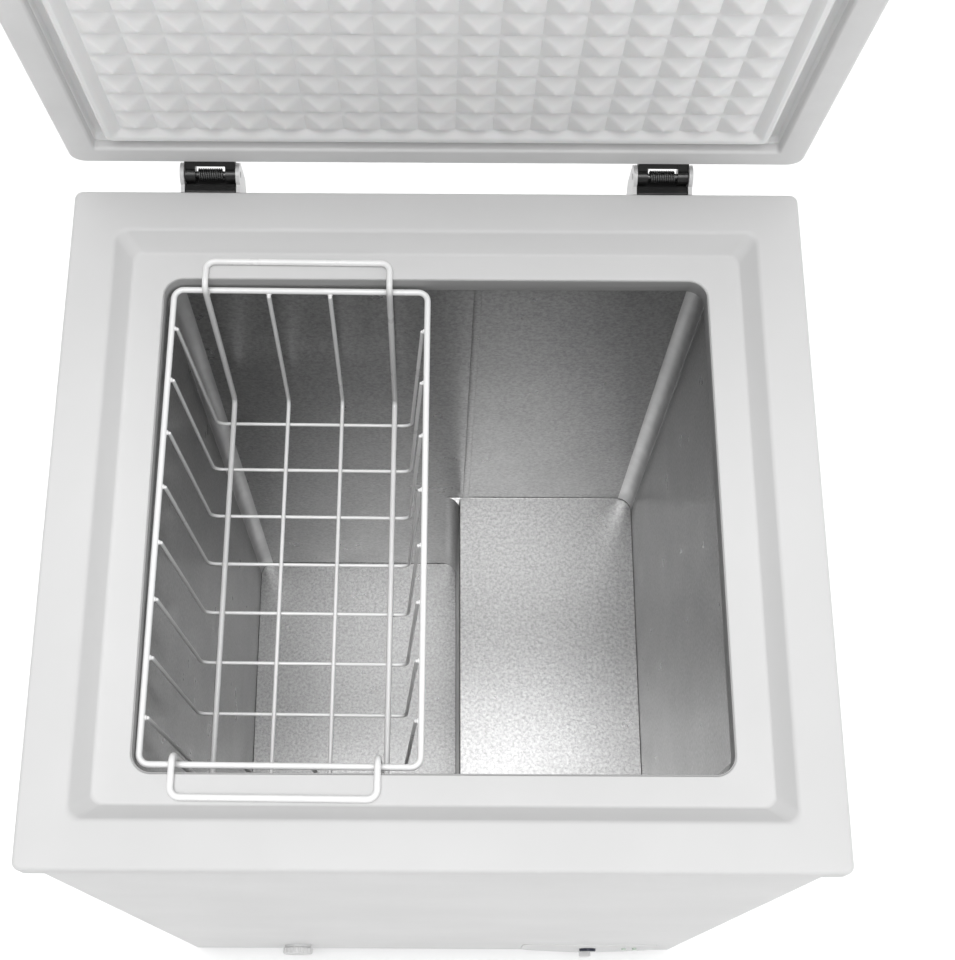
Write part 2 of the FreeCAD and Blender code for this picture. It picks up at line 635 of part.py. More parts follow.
def thermostat_knob():
    """Dark fluted knob disc, slotted for its pointer grip."""
    flutes, flute_radius = 18, 0.5
    front = -BODY_Y - KNOB_FRONT
    disc = cylinder(V(KNOB_X, front, KNOB_Z), Y_AXIS, KNOB_RADIUS, KNOB_FRONT - KNOB_BACK)
    edge = [e for e in disc.Edges if e.Closed and abs(e.CenterOfMass.y - front) < 0.01]
    disc = disc.makeFillet(0.8, edge)
    angles = [2 * math.pi * k / flutes for k in range(flutes)]
    cuts = [cylinder(V(KNOB_X + KNOB_RADIUS * math.cos(a), front - 1,
                       KNOB_Z + KNOB_RADIUS * math.sin(a)), Y_AXIS, flute_radius, 10)
            for a in angles]
    cuts.append(cylinder(V(KNOB_X, front + SHAFT_SEAT, KNOB_Z), Y_AXIS, SHAFT_RADIUS, 10))
    return disc.cut(group(cuts)).cut(grip_bar(front - 5, front + GRIP_SEAT, 0.0))


def grip_bar(front, back, ease):
    """Block over the knob's pointer slot, from its centre out past the rim."""
    half = GRIP_HALF - ease
    bar = box(KNOB_X - half, KNOB_X + KNOB_RADIUS + 0.8, front, back, KNOB_Z - half, KNOB_Z + half)
    bar.rotate(V(KNOB_X, 0, KNOB_Z), Y_AXIS, -GRIP_ANGLE)
    return bar


def knob_grip():
    """Pale pointer grip pressed into the knob's slot."""
    front = -BODY_Y - GRIP_FRONT
    bar = grip_bar(front, -BODY_Y - KNOB_FRONT + GRIP_SEAT, 0.05)
    return bar.makeFillet(1.2, [e for e in bar.Edges if abs(e.CenterOfMass.y - front) < 0.01])


def knob_shaft():
    start = V(KNOB_X, -BODY_Y - KNOB_FRONT + SHAFT_SEAT, KNOB_Z)
    return cylinder(start, Y_AXIS, SHAFT_RADIUS, 24.0)


# --- drain plug and cap ---------------------------------------------------------------
def drain_plug():
    """Rubber plug in the well's floor with a pull tab."""
    z = up(WELL_FLOOR)
    flange_thick, tab_top = 2.5, 12.0
    stem = Part.makeCone(8.2, 8.8, 9.0, V(DRAIN_X, DRAIN_Y, z - 9.0 + EASE), Z_AXIS)
    flange = cylinder(V(DRAIN_X, DRAIN_Y, z + EASE), Z_AXIS, 16.0, flange_thick)
    flange = flange.makeFillet(1.0, [e for e in flange.Edges if e.CenterOfMass.z > z + flange_thick])
    tab = box(DRAIN_X - 7, DRAIN_X + 7, DRAIN_Y - 1.8, DRAIN_Y + 1.8, z + 2, z + tab_top)
    tab = tab.makeFillet(1.2, [e for e in tab.Edges if e.CenterOfMass.z > z + tab_top - 1])
    return stem.fuse(flange).fuse(tab)


def drain_cap():
    """Push-on cap over the outlet in the front."""
    front, back, radius = -BODY_Y - 10.0, -BODY_Y - 3.1, 16.5
    flutes, flute_radius = 18, 1.6
    body = cylinder(V(DRAIN_X, front, DRAIN_Z), Y_AXIS, radius, back - front)
    body = body.makeFillet(2.5, [e for e in body.Edges if e.Closed and
                                 abs(e.CenterOfMass.y - front) < 0.01])
    plug = cylinder(V(DRAIN_X, back, DRAIN_Z), Y_AXIS, DRAIN_HOLE - DRAIN_WALL - EASE, 11.0)
    reach = radius + 0.6
    angles = [2 * math.pi * k / flutes for k in range(flutes)]
    grips = [cylinder(V(DRAIN_X + reach * math.cos(a), front - 1, DRAIN_Z + reach * math.sin(a)),
                      Y_AXIS, flute_radius, 20.0) for a in angles]
    return body.fuse(plug).cut(group(grips))


# --- hinges ---------------------------------------------------------------------------
CHEEK = 3.0              # thickness of the bracket's cheeks
PLATE = 2.4              # thickness of the bracket's base plate where it stands proud
BRACKET_HALF = 34.0      # half the width of the base plate
BRACKET_LOW = up(-62.0)
BRACKET_FACE = RIM_Y + 0.2           # back of the frame's skirt, with a little room
EYE = 9.0                # outer radius of the pin eyes
KNUCKLE = 5.8            # outer radius of the lid's knuckles
KNUCKLE_WIDE = 8.0
LEAF_PLATE = 2.2
LEAF_LOW, LEAF_HIGH, LEAF_WEB = 12.5, 43.0, 20.0     # closed heights above the frame's top
BRACKET_SCREWS = [(dx, dz) for dx in (-29.0, 29.0) for dz in (-30.0, -52.0)]
LEAF_SCREWS = [(-13.0, 32.0), (13.0, 32.0)]
HINGES = {"left": -HINGE_X, "right": HINGE_X}


def hinge_bracket(x):
    """Pale steel bracket: screwed base plate with two cheeks that hold the pin."""
    back, reach = BRACKET_FACE, HINGE_HALF + CHEEK
    base = box(x - BRACKET_HALF, x + BRACKET_HALF, BODY_Y, back + PLATE,
               BRACKET_LOW, up(-RIM_SKIRT) - 0.4)
    upper = box(x - reach, x + reach, back, back + PLATE, up(-RIM_SKIRT) - 1.0, up(-9.0))
    bracket = base.fuse(upper)
    for side in (x - reach, x + HINGE_HALF):
        cheek = extruded_polygon([V(side, back, BRACKET_LOW), V(side, back, up(-1.5)),
                                  V(side, PIN_Y - EYE, PIN_Z), V(side, PIN_Y + EYE, PIN_Z),
                                  V(side, PIN_Y + 12.0, up(-26.0)), V(side, back + 6, BRACKET_LOW)],
                                 V(CHEEK, 0, 0))
        eye = cylinder(V(side, PIN_Y, PIN_Z), X_AXIS, EYE, CHEEK)
        bracket = bracket.fuse(cheek).fuse(eye)
    bracket = bracket.cut(cylinder(V(x - 30, PIN_Y, PIN_Z), X_AXIS, PIN_RADIUS, 60))
    holes = [cylinder(V(x + dx, BODY_Y - 1, up(dz)), Y_AXIS, SCREW_RADIUS + 0.1, 20)
             for dx, dz in BRACKET_SCREWS]
    return bracket.cut(group(holes)).removeSplitter()


def hinge_pin(x):
    """Steel pin, staked flush with the bracket's cheeks."""
    reach = HINGE_HALF + CHEEK
    return cylinder(V(x - reach, PIN_Y, PIN_Z), X_AXIS, PIN_RADIUS, 2 * reach)


def hinge_spring(x):
    """Balancing spring coiled round the pin between the lid's two knuckles."""
    wire, coil, turns = 0.75, 4.1, 11
    length = 19.0
    helix = Part.makeHelix(length / turns, length, coil)
    helix.rotate(V(0, 0, 0), Y_AXIS, 90)
    helix.translate(V(x - length / 2, PIN_Y, PIN_Z))
    edge = helix.Edges[0]
    start, heading = edge.valueAt(edge.FirstParameter), edge.tangentAt(edge.FirstParameter)
    profile = Part.Wire(Part.makeCircle(wire, start, heading))
    return Part.Wire(helix.Edges).makePipeShell([profile], True, True)


def hinge_cover(x):
    """Black plastic cover inside the bracket, stepped to clear the knuckles."""
    near, back = RIM_Y + EASE, BRACKET_FACE + PLATE
    half = HINGE_HALF - 0.1
    top, step, far = up(-1.5), up(-7.5), PIN_Y + 8.0
    lip = box(x - half, x + half, near, back, up(-8.6), top)
    upper = box(x - half, x + half, back, PIN_Y - 6.8, up(-14.0), top)
    lower = box(x - half, x + half, back, far, up(-40.0), step)
    cover = upper.fuse(lower).fuse(lip).removeSplitter()
    return cover.makeFillet(1.2, [e for e in cover.Edges if e.CenterOfMass.z > top - 0.1 or
                                  e.CenterOfMass.y > far - 0.1])


def hinge_leaf(x):
    """Lid half of the hinge, drawn for the closed lid: knuckles, arms, web and back plate."""
    near, far = LID_BACK + EASE, LID_BACK + EASE + LEAF_PLATE
    low, web_top = up(LEAF_LOW), up(LEAF_WEB)
    left, right = x - HINGE_HALF + 0.4, x + HINGE_HALF - 0.4
    leaf = box(left + 0.4, right - 0.4, near, far, low, up(LEAF_HIGH))
    for side in (left, right - KNUCKLE_WIDE):
        knuckle = cylinder(V(side, PIN_Y, PIN_Z), X_AXIS, KNUCKLE, KNUCKLE_WIDE)
        arm = extruded_polygon([V(side, PIN_Y - 5.4, PIN_Z + 2.0), V(side, near, low),
                                V(side, near, web_top), V(side, far, web_top),
                                V(side, PIN_Y + 3.0, PIN_Z + 5.0)], V(KNUCKLE_WIDE, 0, 0))
        leaf = leaf.fuse(knuckle).fuse(arm)
    web = extruded_polygon([V(left, near, low), V(left, near, web_top), V(left, far, web_top),
                            V(left, PIN_Y - 3.5, PIN_Z + 5.6), V(left, PIN_Y - 6.4, PIN_Z + 3.6)],
                           V(right - left, 0, 0))
    leaf = leaf.fuse(web)
    leaf = leaf.cut(cylinder(V(x - 30, PIN_Y, PIN_Z), X_AXIS, PIN_RADIUS + 0.06, 60))
    holes = [cylinder(V(x + dx, near - 1, up(dz)), Y_AXIS, SCREW_RADIUS + 0.1, 10)
             for dx, dz in LEAF_SCREWS]
    return leaf.cut(group(holes)).removeSplitter()


def bracket_screws():
    return group([pan_screw(V(x + dx, BRACKET_FACE + PLATE, up(dz)), V(0, -1, 0), SCREW_RADIUS, 14)
                  for x in HINGES.values() for dx, dz in BRACKET_SCREWS])


def leaf_screws():
    y = LID_BACK + EASE + LEAF_PLATE
    return group([pan_screw(V(x + dx, y, up(dz)), V(0, -1, 0), SCREW_RADIUS, 12)
                  for x in HINGES.values() for dx, dz in LEAF_SCREWS])


# --- lid, drawn closed and then turned to its open place ------------------------------
LID_Y = (LID_FRONT + LID_BACK) / 2
LID_HALF_Y = (LID_BACK - LID_FRONT) / 2
LID_SKIN = 1.0           # painted steel cover
LID_EDGE = 7.0           # rounding of the cover's top edge
FLANGE = 3.4             # inner edge of the cover's return flange, in from the outline
PANEL_LEVEL = 4.5        # quilted panel's base, above the frame's top
QUILT_TIP = -0.5         # tips of the quilted pyramids
RIDGE_LEVEL = 1.0        # lowest line of the ridge round the panel
GROOVE_LEVEL = 14.0      # bottom of the groove between the seal and the ridge
LINER_THICK = 2.0
GROOVE_OUT, GROOVE_IN = 23.0, 31.0   # groove's edges, in from the lid's outline
RIDGE_LEAN = 3.5         # slope of both sides of the ridge
GASKET_OUT = 1.0         # seal's edges, in from the lid's outline
GASKET_IN = GROOVE_OUT - 0.2


def lid_block(inset, z0, z1, corner):
    return rounded_block(-RIM_X + inset, RIM_X - inset, LID_FRONT + inset, LID_BACK - inset,
                         up(z0), up(z1), corner)


def lid_taper(inset0, z0, inset1, z1, corner):
    """Solid between the lid's outline moved inwards by two different amounts."""
    low = rounded_outline(-RIM_X + inset0, RIM_X - inset0, LID_FRONT + inset0,
                          LID_BACK - inset0, up(z0), corner)
    high = rounded_outline(-RIM_X + inset1, RIM_X - inset1, LID_FRONT + inset1,
                           LID_BACK - inset1, up(z1), corner)
    return Part.makeLoft([low, high], True, True)


def lid_outer_shell():
    """Painted steel cover with rounded edges and a return flange under the foam."""
    block = lid_block(0, LID_BOTTOM, LID_TOP, LID_CORNER)
    block = block.makeFillet(LID_EDGE, [e for e in block.Edges
                                        if e.CenterOfMass.z > up(LID_TOP) - 0.01])
    inside = lid_filling(LID_BOTTOM - 1)
    flange = lid_block(LID_SKIN, LID_BOTTOM, LID_BOTTOM + LID_SKIN, LID_CORNER - LID_SKIN)
    flange = flange.cut(lid_block(FLANGE, LID_BOTTOM - 1, LID_BOTTOM + 2, 8.0))
    return block.cut(inside).fuse(flange)


def lid_filling(bottom):
    """The room inside the painted cover, down to the given level."""
    room = lid_block(LID_SKIN, bottom, LID_TOP - LID_SKIN, LID_CORNER - LID_SKIN)
    return room.makeFillet(LID_EDGE - LID_SKIN, [e for e in room.Edges
                                                 if e.CenterOfMass.z > up(LID_TOP - LID_SKIN) - 0.01])


def lid_liner_form():
    """Inner liner without its quilting: seal flange, groove and the hollow ridge."""
    back = GROOVE_LEVEL + LINER_THICK
    plate = lid_block(FLANGE + 0.2, LID_BOTTOM, back, 9.0)
    groove = lid_block(GROOVE_OUT, LID_BOTTOM - 1, GROOVE_LEVEL, 6.0)
    groove = groove.cut(lid_block(GROOVE_IN, 0, 30, 5.0))
    ridge = lid_taper(GROOVE_IN + RIDGE_LEAN, RIDGE_LEVEL, GROOVE_IN, GROOVE_LEVEL, 6.0)
    form = plate.cut(groove).fuse(ridge)
    return form.cut(panel_recess(RIDGE_LEVEL - 0.01, PANEL_LEVEL)).cut(lid_core())


def lid_core():
    """Foam that fills the back of the ridge and of the quilted panel."""
    back = GROOVE_LEVEL + LINER_THICK
    core = lid_taper(GROOVE_IN + RIDGE_LEAN + 2.5, RIDGE_LEVEL + LINER_THICK,
                     GROOVE_IN + LINER_THICK, back, 4.0)
    return core.cut(panel_block(RIDGE_LEVEL, PANEL_LEVEL + LINER_THICK, 4.5))


def panel_block(z0, z1, grow):
    half_x, half_y = PANEL_WIDTH / 2 + grow, PANEL_DEPTH / 2 + grow
    return box(-half_x, half_x, LID_Y - half_y, LID_Y + half_y, up(z0), up(z1))


def panel_recess(z0, z1):
    """Tapered hollow over the quilted panel."""
    half_x, half_y = PANEL_WIDTH / 2, PANEL_DEPTH / 2
    corners = [(-1, -1), (1, -1), (1, 1), (-1, 1)]
    low = [V(sx * (half_x + RIDGE_LEAN), LID_Y + sy * (half_y + RIDGE_LEAN), up(z0))
           for sx, sy in corners]
    high = [V(sx * half_x, LID_Y + sy * half_y, up(z1)) for sx, sy in corners]
    wires = [Part.makePolygon(ring + [ring[0]]) for ring in (low, high)]
    return Part.makeLoft(wires, True, True)


def quilted_slab():
    """Flat-backed slab whose lower face is a grid of shallow pyramids."""
    half_x, half_y = PANEL_WIDTH / 2, PANEL_DEPTH / 2
    base, tip, back = up(PANEL_LEVEL), up(QUILT_TIP), up(PANEL_LEVEL + LINER_THICK)
    step_x, step_y = PANEL_WIDTH / PYRAMID_COLUMNS, PANEL_DEPTH / PYRAMID_ROWS

    def corner(i, j):
        return V(-half_x + i * step_x, LID_Y - half_y + j * step_y, base)

    def triangle(a, b, c):
        return Part.Face(Part.makePolygon([a, b, c, a]))

    faces = []
    for i in range(PYRAMID_COLUMNS):
        for j in range(PYRAMID_ROWS):
            ring = [corner(i, j), corner(i + 1, j), corner(i + 1, j + 1), corner(i, j + 1)]
            apex = (ring[0] + ring[2]) * 0.5
            apex.z = tip
            faces += [triangle(ring[k], ring[(k + 1) % 4], apex) for k in range(4)]
    lift = V(0, 0, back - base)
    outline = [corner(i, 0) for i in range(PYRAMID_COLUMNS)]
    outline += [corner(PYRAMID_COLUMNS, j) for j in range(PYRAMID_ROWS)]
    outline += [corner(i, PYRAMID_ROWS) for i in range(PYRAMID_COLUMNS, 0, -1)]
    outline += [corner(0, j) for j in range(PYRAMID_ROWS, 0, -1)]
    for k, here in enumerate(outline):
        after = outline[(k + 1) % len(outline)]
        faces.append(Part.Face(Part.makePolygon([here, after, after + lift, here + lift, here])))
    top = [p + lift for p in outline]
    faces.append(Part.Face(Part.makePolygon(top + [top[0]])))
    solid = Part.Solid(Part.makeShell(faces))
    return solid if solid.Volume > 0 else solid.reversed()


def lid_liner():
    """Thermoformed inner liner: seal channel, ridge and quilted panel in one sheet."""
    frame = lid_liner_form().cut(panel_block(PANEL_LEVEL - 0.001, PANEL_LEVEL + LINER_THICK, 0.0))
    return frame.fuse(quilted_slab())


def lid_foam():
    return lid_filling(GROOVE_LEVEL + LINER_THICK).fuse(lid_core())


def lid_gasket():
    """Soft seal with mitred corners and a broad, gently rounded face."""
    half_x = RIM_X - GASKET_OUT
    low, high = LID_FRONT + GASKET_OUT, LID_BACK - GASKET_OUT
    middle, root, tip = (low + high) / 2, up(LID_BOTTOM), up(EASE)
    wide = GASKET_IN - GASKET_OUT
    section = [(0.0, root), (0.2, tip + 4.2), (0.9, tip + 2.0), (2.2, tip + 0.6), (4.2, tip),
               (wide - 3.0, tip), (wide - 1.2, tip + 0.8), (wide - 0.2, tip + 2.6), (wide, root)]
    # the section stands across the left-hand run, halfway along it
    points = [V(-half_x + inwards, middle, z) for inwards, z in section]
    profile = Part.makePolygon(points + [points[0]])
    ring = [(-half_x, middle), (-half_x, high), (half_x, high), (half_x, low), (-half_x, low),
            (-half_x, middle)]
    spine = Part.makePolygon([V(x, y, root) for x, y in ring])
    solid = spine.makePipeShell([profile], True, False, 1)
    return solid if solid.Volume > 0 else solid.reversed()


HANDLE_BACK = LID_FRONT - 0.05
HANDLE_WALL = 2.5        # wall of the grip against the lid


def lid_handle():
    """Moulded grip on the lid's front with a finger recess underneath."""
    half, recess_half, depth = 62.0, 54.0, 19.0
    back, front = HANDLE_BACK, HANDLE_BACK - depth
    grip = box(-half, half, front, back, up(13), up(39))
    grip = grip.makeFillet(5.0, [e for e in grip.Edges if e.CenterOfMass.y < front + 0.1])
    recess = box(-recess_half, recess_half, front + 5.0, back - HANDLE_WALL, up(10), up(33))
    return grip.cut(recess)


def lid_handle_screws():
    y = HANDLE_BACK - HANDLE_WALL
    return group([pan_screw(V(x, y, up(24)), V(0, 1, 0), SCREW_RADIUS, 12) for x in (-42, 42)])


def opened(shape):
    """Turn a piece drawn on the closed lid to the open place about the hinge pins."""
    turned = shape.copy()
    turned.rotate(V(0, PIN_Y, PIN_Z), X_AXIS, -LID_OPEN_DEG)
    return turned


# --- basket ---------------------------------------------------------------------------
BASKET_X = (-203.8, -7.6)            # rim centre lines
BASKET_Y = (-184.0, 186.0)
BASKET_RIM_Z = -25.0
BASKET_FLOOR_Z = -208.0              # centre line of the wires across the floor
BASKET_FLOOR_X = (-193.5, -22.0)
BASKET_FLOOR_Y = (-172.0, 174.0)
RIM_WIRE, CROSS_WIRE, THIN_WIRE, HANGER_WIRE = 2.4, 1.5, 1.75, 2.4
CROSS_COUNT = 8
CROSS_PITCH = 43.4
CROSS_FIRST_Y = 153.0
HANGER_LEGS = (-178.5, -37.0)
THIN_LEGS = (-130.8, -83.3)
BASKET_TURN = -0.4       # degrees the basket sits askew, about the middle of its rim
HANGER_Y = (-208.5, 204.0)
HANGER_Z = -LEDGE_DROP + HANGER_WIRE + EASE


def basket_rim():
    (x0, x1), (y0, y1), z = BASKET_X, BASKET_Y, up(BASKET_RIM_Z)
    middle = (x0 + x1) / 2
    ring = [V(middle, y0, z), V(x1, y0, z), V(x1, y1, z), V(x0, y1, z), V(x0, y0, z)]
    return closed_rod(ring, RIM_WIRE, 7.5)


def closed_rod(ring, radius, bend):
    """Closed loop of bar, swept in two halves that meet end to end."""
    half = len(ring) // 2 + 1
    start = ring[0]
    far = (ring[half - 1] + ring[half]) * 0.5
    first = rod([start] + ring[1:half] + [far], radius, bend)
    second = rod([far] + ring[half:] + [start], radius, bend)
    return first.fuse(second)


def basket_cross_wires():
    """Thin wires from rim to rim, down the sides and across the floor."""
    inward = RIM_WIRE + CROSS_WIRE
    top, floor = up(BASKET_RIM_Z + 1.5), up(BASKET_FLOOR_Z)
    made = []
    for k in range(CROSS_COUNT):
        y = CROSS_FIRST_Y - k * CROSS_PITCH
        made.append(rod([V(BASKET_X[0] + inward, y, top), V(BASKET_FLOOR_X[0], y, floor),
                         V(BASKET_FLOOR_X[1], y, floor), V(BASKET_X[1] - inward, y, top)],
                        CROSS_WIRE, 8.0))
    return group(made)


def basket_long_wires():
    """Two wires from front to back on top of the cross wires."""
    inward = RIM_WIRE + THIN_WIRE
    top = up(BASKET_RIM_Z + 1.5)
    floor = up(BASKET_FLOOR_Z) + CROSS_WIRE + THIN_WIRE
    made = []
    for x in THIN_LEGS:
        made.append(rod([V(x, BASKET_Y[0] + inward, top), V(x, BASKET_FLOOR_Y[0], floor),
                         V(x, BASKET_FLOOR_Y[1], floor), V(x, BASKET_Y[1] - inward, top)],
                        THIN_WIRE, 8.0))
    return group(made)


def basket_hanger():
    """One closed wire: two floor runs, four legs and the two bars that rest on the ledge."""
    floor = up(BASKET_FLOOR_Z) + CROSS_WIRE + HANGER_WIRE
    z = up(HANGER_Z)
    inward = RIM_WIRE + HANGER_WIRE
    front, back = BASKET_Y[0] + inward, BASKET_Y[1] - inward
    left, right = HANGER_LEGS
    ring = [V(left, 0, floor), V(left, BASKET_FLOOR_Y[1], floor), V(left, back, z),
            V(left, HANGER_Y[1], z), V(right, HANGER_Y[1], z), V(right, back, z),
            V(right, BASKET_FLOOR_Y[1], floor), V(right, BASKET_FLOOR_Y[0], floor),
            V(right, front, z), V(right, HANGER_Y[0], z), V(left, HANGER_Y[0], z),
            V(left, front, z), V(left, BASKET_FLOOR_Y[0], floor)]
    return closed_rod(ring, HANGER_WIRE, 7.0)


def askew(shape):
    """Turn a basket piece to the way the basket sits in the opening."""
    turned = shape.copy()
    turned.rotate(V(sum(BASKET_X) / 2, sum(BASKET_Y) / 2, 0), Z_AXIS, BASKET_TURN)
    return turned


# what each group of screws passes through
SCREWED = {
    "hinge_bracket_screws": ["back_panel", "cabinet_foam"],
    "rear_grille_screws": ["rear_grille", "back_panel"],
    "hinge_leaf_screws": ["lid_outer_shell", "lid_foam"],
    "lid_handle_screws": ["lid_handle", "lid_outer_shell", "lid_foam"],
}


# --- the whole object -----------------------------------------------------------------
def build():
    evaporator, condenser = evaporator_tube(), condenser_tube()
    parts = {
        "outer_wrap": outer_wrap(),
        "back_panel": back_panel(),
        "base_plate": base_plate(),
        "cabinet_foam": cabinet_foam([evaporator, condenser, drain_core()]),
        "inner_liner": inner_liner(),
        "top_frame": top_frame(),
        "opening_strip": opening_strip(),
        "evaporator_tube": evaporator,
        "condenser_tube": condenser,
        "drain_tube": drain_tube(),
        "side_vent_grille": side_vent_grille(),
        "rear_grille": rear_grille(),
        "rear_grille_screws": rear_grille_screws(),
        "cord_inlet": cord_inlet(),
        "feet": feet(),
        "foot_screws": foot_screws(),
        "compressor_shell": compressor_shell(),
        "compressor_foot_plate": compressor_foot_plate(),
        "compressor_grommets": compressor_grommets(),
        "compressor_bolts": compressor_bolts(),
        "relay_box": relay_box(),
        "filter_drier": filter_drier(),
        "capillary_tube": capillary_tube(),
        "discharge_pipe": discharge_pipe(),
        "suction_pipe": suction_pipe(),
        "process_pipe": process_pipe(),
        "thermostat_body": thermostat_body(),
        "sensor_tube": sensor_tube(),
        "wiring_loom": wiring_loom(),
        "control_panel": control_panel(),
        "indicator_lamps": indicator_lamps(),
        "thermostat_knob": thermostat_knob(),
        "knob_grip": knob_grip(),
        "knob_shaft": knob_shaft(),
        "drain_plug": drain_plug(),
        "drain_cap": drain_cap(),
        "hinge_bracket_screws": bracket_screws(),
        "lid_outer_shell": opened(lid_outer_shell()),
        "lid_foam": opened(lid_foam()),
        "lid_liner": opened(lid_liner()),
        "lid_gasket": opened(lid_gasket()),
        "lid_handle": opened(lid_handle()),
        "lid_handle_screws": opened(lid_handle_screws()),
        "hinge_leaf_screws": opened(leaf_screws()),
        "basket_rim": askew(basket_rim()),
        "basket_hanger": askew(basket_hanger()),
        "basket_cross_wires": askew(basket_cross_wires()),
        "basket_long_wires": askew(basket_long_wires()),
    }
    for side, x in HINGES.items():
        parts["hinge_bracket_" + side] = hinge_bracket(x)
        parts["hinge_pin_" + side] = hinge_pin(x)
        parts["hinge_spring_" + side] = hinge_spring(x)
        parts["hinge_cover_" + side] = hinge_cover(x)
        parts["hinge_leaf_" + side] = opened(hinge_leaf(x))
    for screws, drilled in SCREWED.items():
        for name in drilled:
            parts[name] = parts[name].cut(parts[screws])
    return parts


os.makedirs("parts", exist_ok=True)
for name, shape in build().items():
    shape.exportStep("parts/" + name + ".step")
    bounds = shape.BoundBox
    print(f"{name:24s} solids {len(shape.Solids)} valid {shape.isValid()} "
          f"volume {shape.Volume / 1000:9.1f} cm3  "
          f"x {bounds.XMin:7.1f} {bounds.XMax:7.1f}  y {bounds.YMin:7.1f} {bounds.YMax:7.1f}  "
          f"z {bounds.ZMin:7.1f} {bounds.ZMax:7.1f}")
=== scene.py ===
import bmesh
import bpy
import json
import math
from mathutils import Matrix, Vector


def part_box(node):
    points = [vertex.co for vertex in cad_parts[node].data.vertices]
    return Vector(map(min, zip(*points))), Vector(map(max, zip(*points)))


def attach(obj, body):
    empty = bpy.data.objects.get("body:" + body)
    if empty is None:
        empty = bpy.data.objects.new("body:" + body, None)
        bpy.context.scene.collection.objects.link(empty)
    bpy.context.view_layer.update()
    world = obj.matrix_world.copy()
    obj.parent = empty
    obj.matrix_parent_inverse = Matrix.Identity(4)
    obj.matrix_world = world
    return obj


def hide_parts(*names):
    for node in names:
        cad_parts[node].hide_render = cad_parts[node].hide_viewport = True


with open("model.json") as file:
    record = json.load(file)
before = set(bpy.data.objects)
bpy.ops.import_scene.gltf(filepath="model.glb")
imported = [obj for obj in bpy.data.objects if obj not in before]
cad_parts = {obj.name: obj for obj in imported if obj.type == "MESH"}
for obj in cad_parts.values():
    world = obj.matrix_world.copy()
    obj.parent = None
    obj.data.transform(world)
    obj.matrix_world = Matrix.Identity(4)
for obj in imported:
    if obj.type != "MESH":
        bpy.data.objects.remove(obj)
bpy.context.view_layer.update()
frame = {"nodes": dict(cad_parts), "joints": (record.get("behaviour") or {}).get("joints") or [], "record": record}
NODES = frame["nodes"]
MM = 0.001


# --- sizes taken from the frame -------------------------------------------------------
def span(node):
    """Low corner, high corner of a CAD node at rest."""
    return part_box(node)


RIM_X, RIM_Y, RIM_TOP = span("top_frame")[1]
STRIP_LOW, STRIP_HIGH = span("opening_strip")
LINER_LOW, LINER_HIGH = span("inner_liner")
LINER_SHEET = 0.8 * MM
LIP_Z = STRIP_LOW.z

# the lid: its hinge line and opening angle, and its size when closed
HINGE = [j for j in frame["joints"] if j["name"] == "lid_hinge"][0]
PIN = Vector(HINGE["pos_m"])
LID_OPEN = math.radians(-HINGE["range_deg"][0])
LID_FRONT = -RIM_Y
LID_DEPTH = 514.4 * MM
LID_BACK = LID_FRONT + LID_DEPTH
LID_MIDDLE = (LID_FRONT + LID_BACK) / 2
LID_HALF_Y = (LID_BACK - LID_FRONT) / 2
LID_BOTTOM, LID_TOP = 8 * MM, 45 * MM     # heights above the frame's top
LID_MATRIX = (Matrix.Translation(PIN) @ Matrix.Rotation(-LID_OPEN, 4, "X")
              @ Matrix.Translation(-PIN))


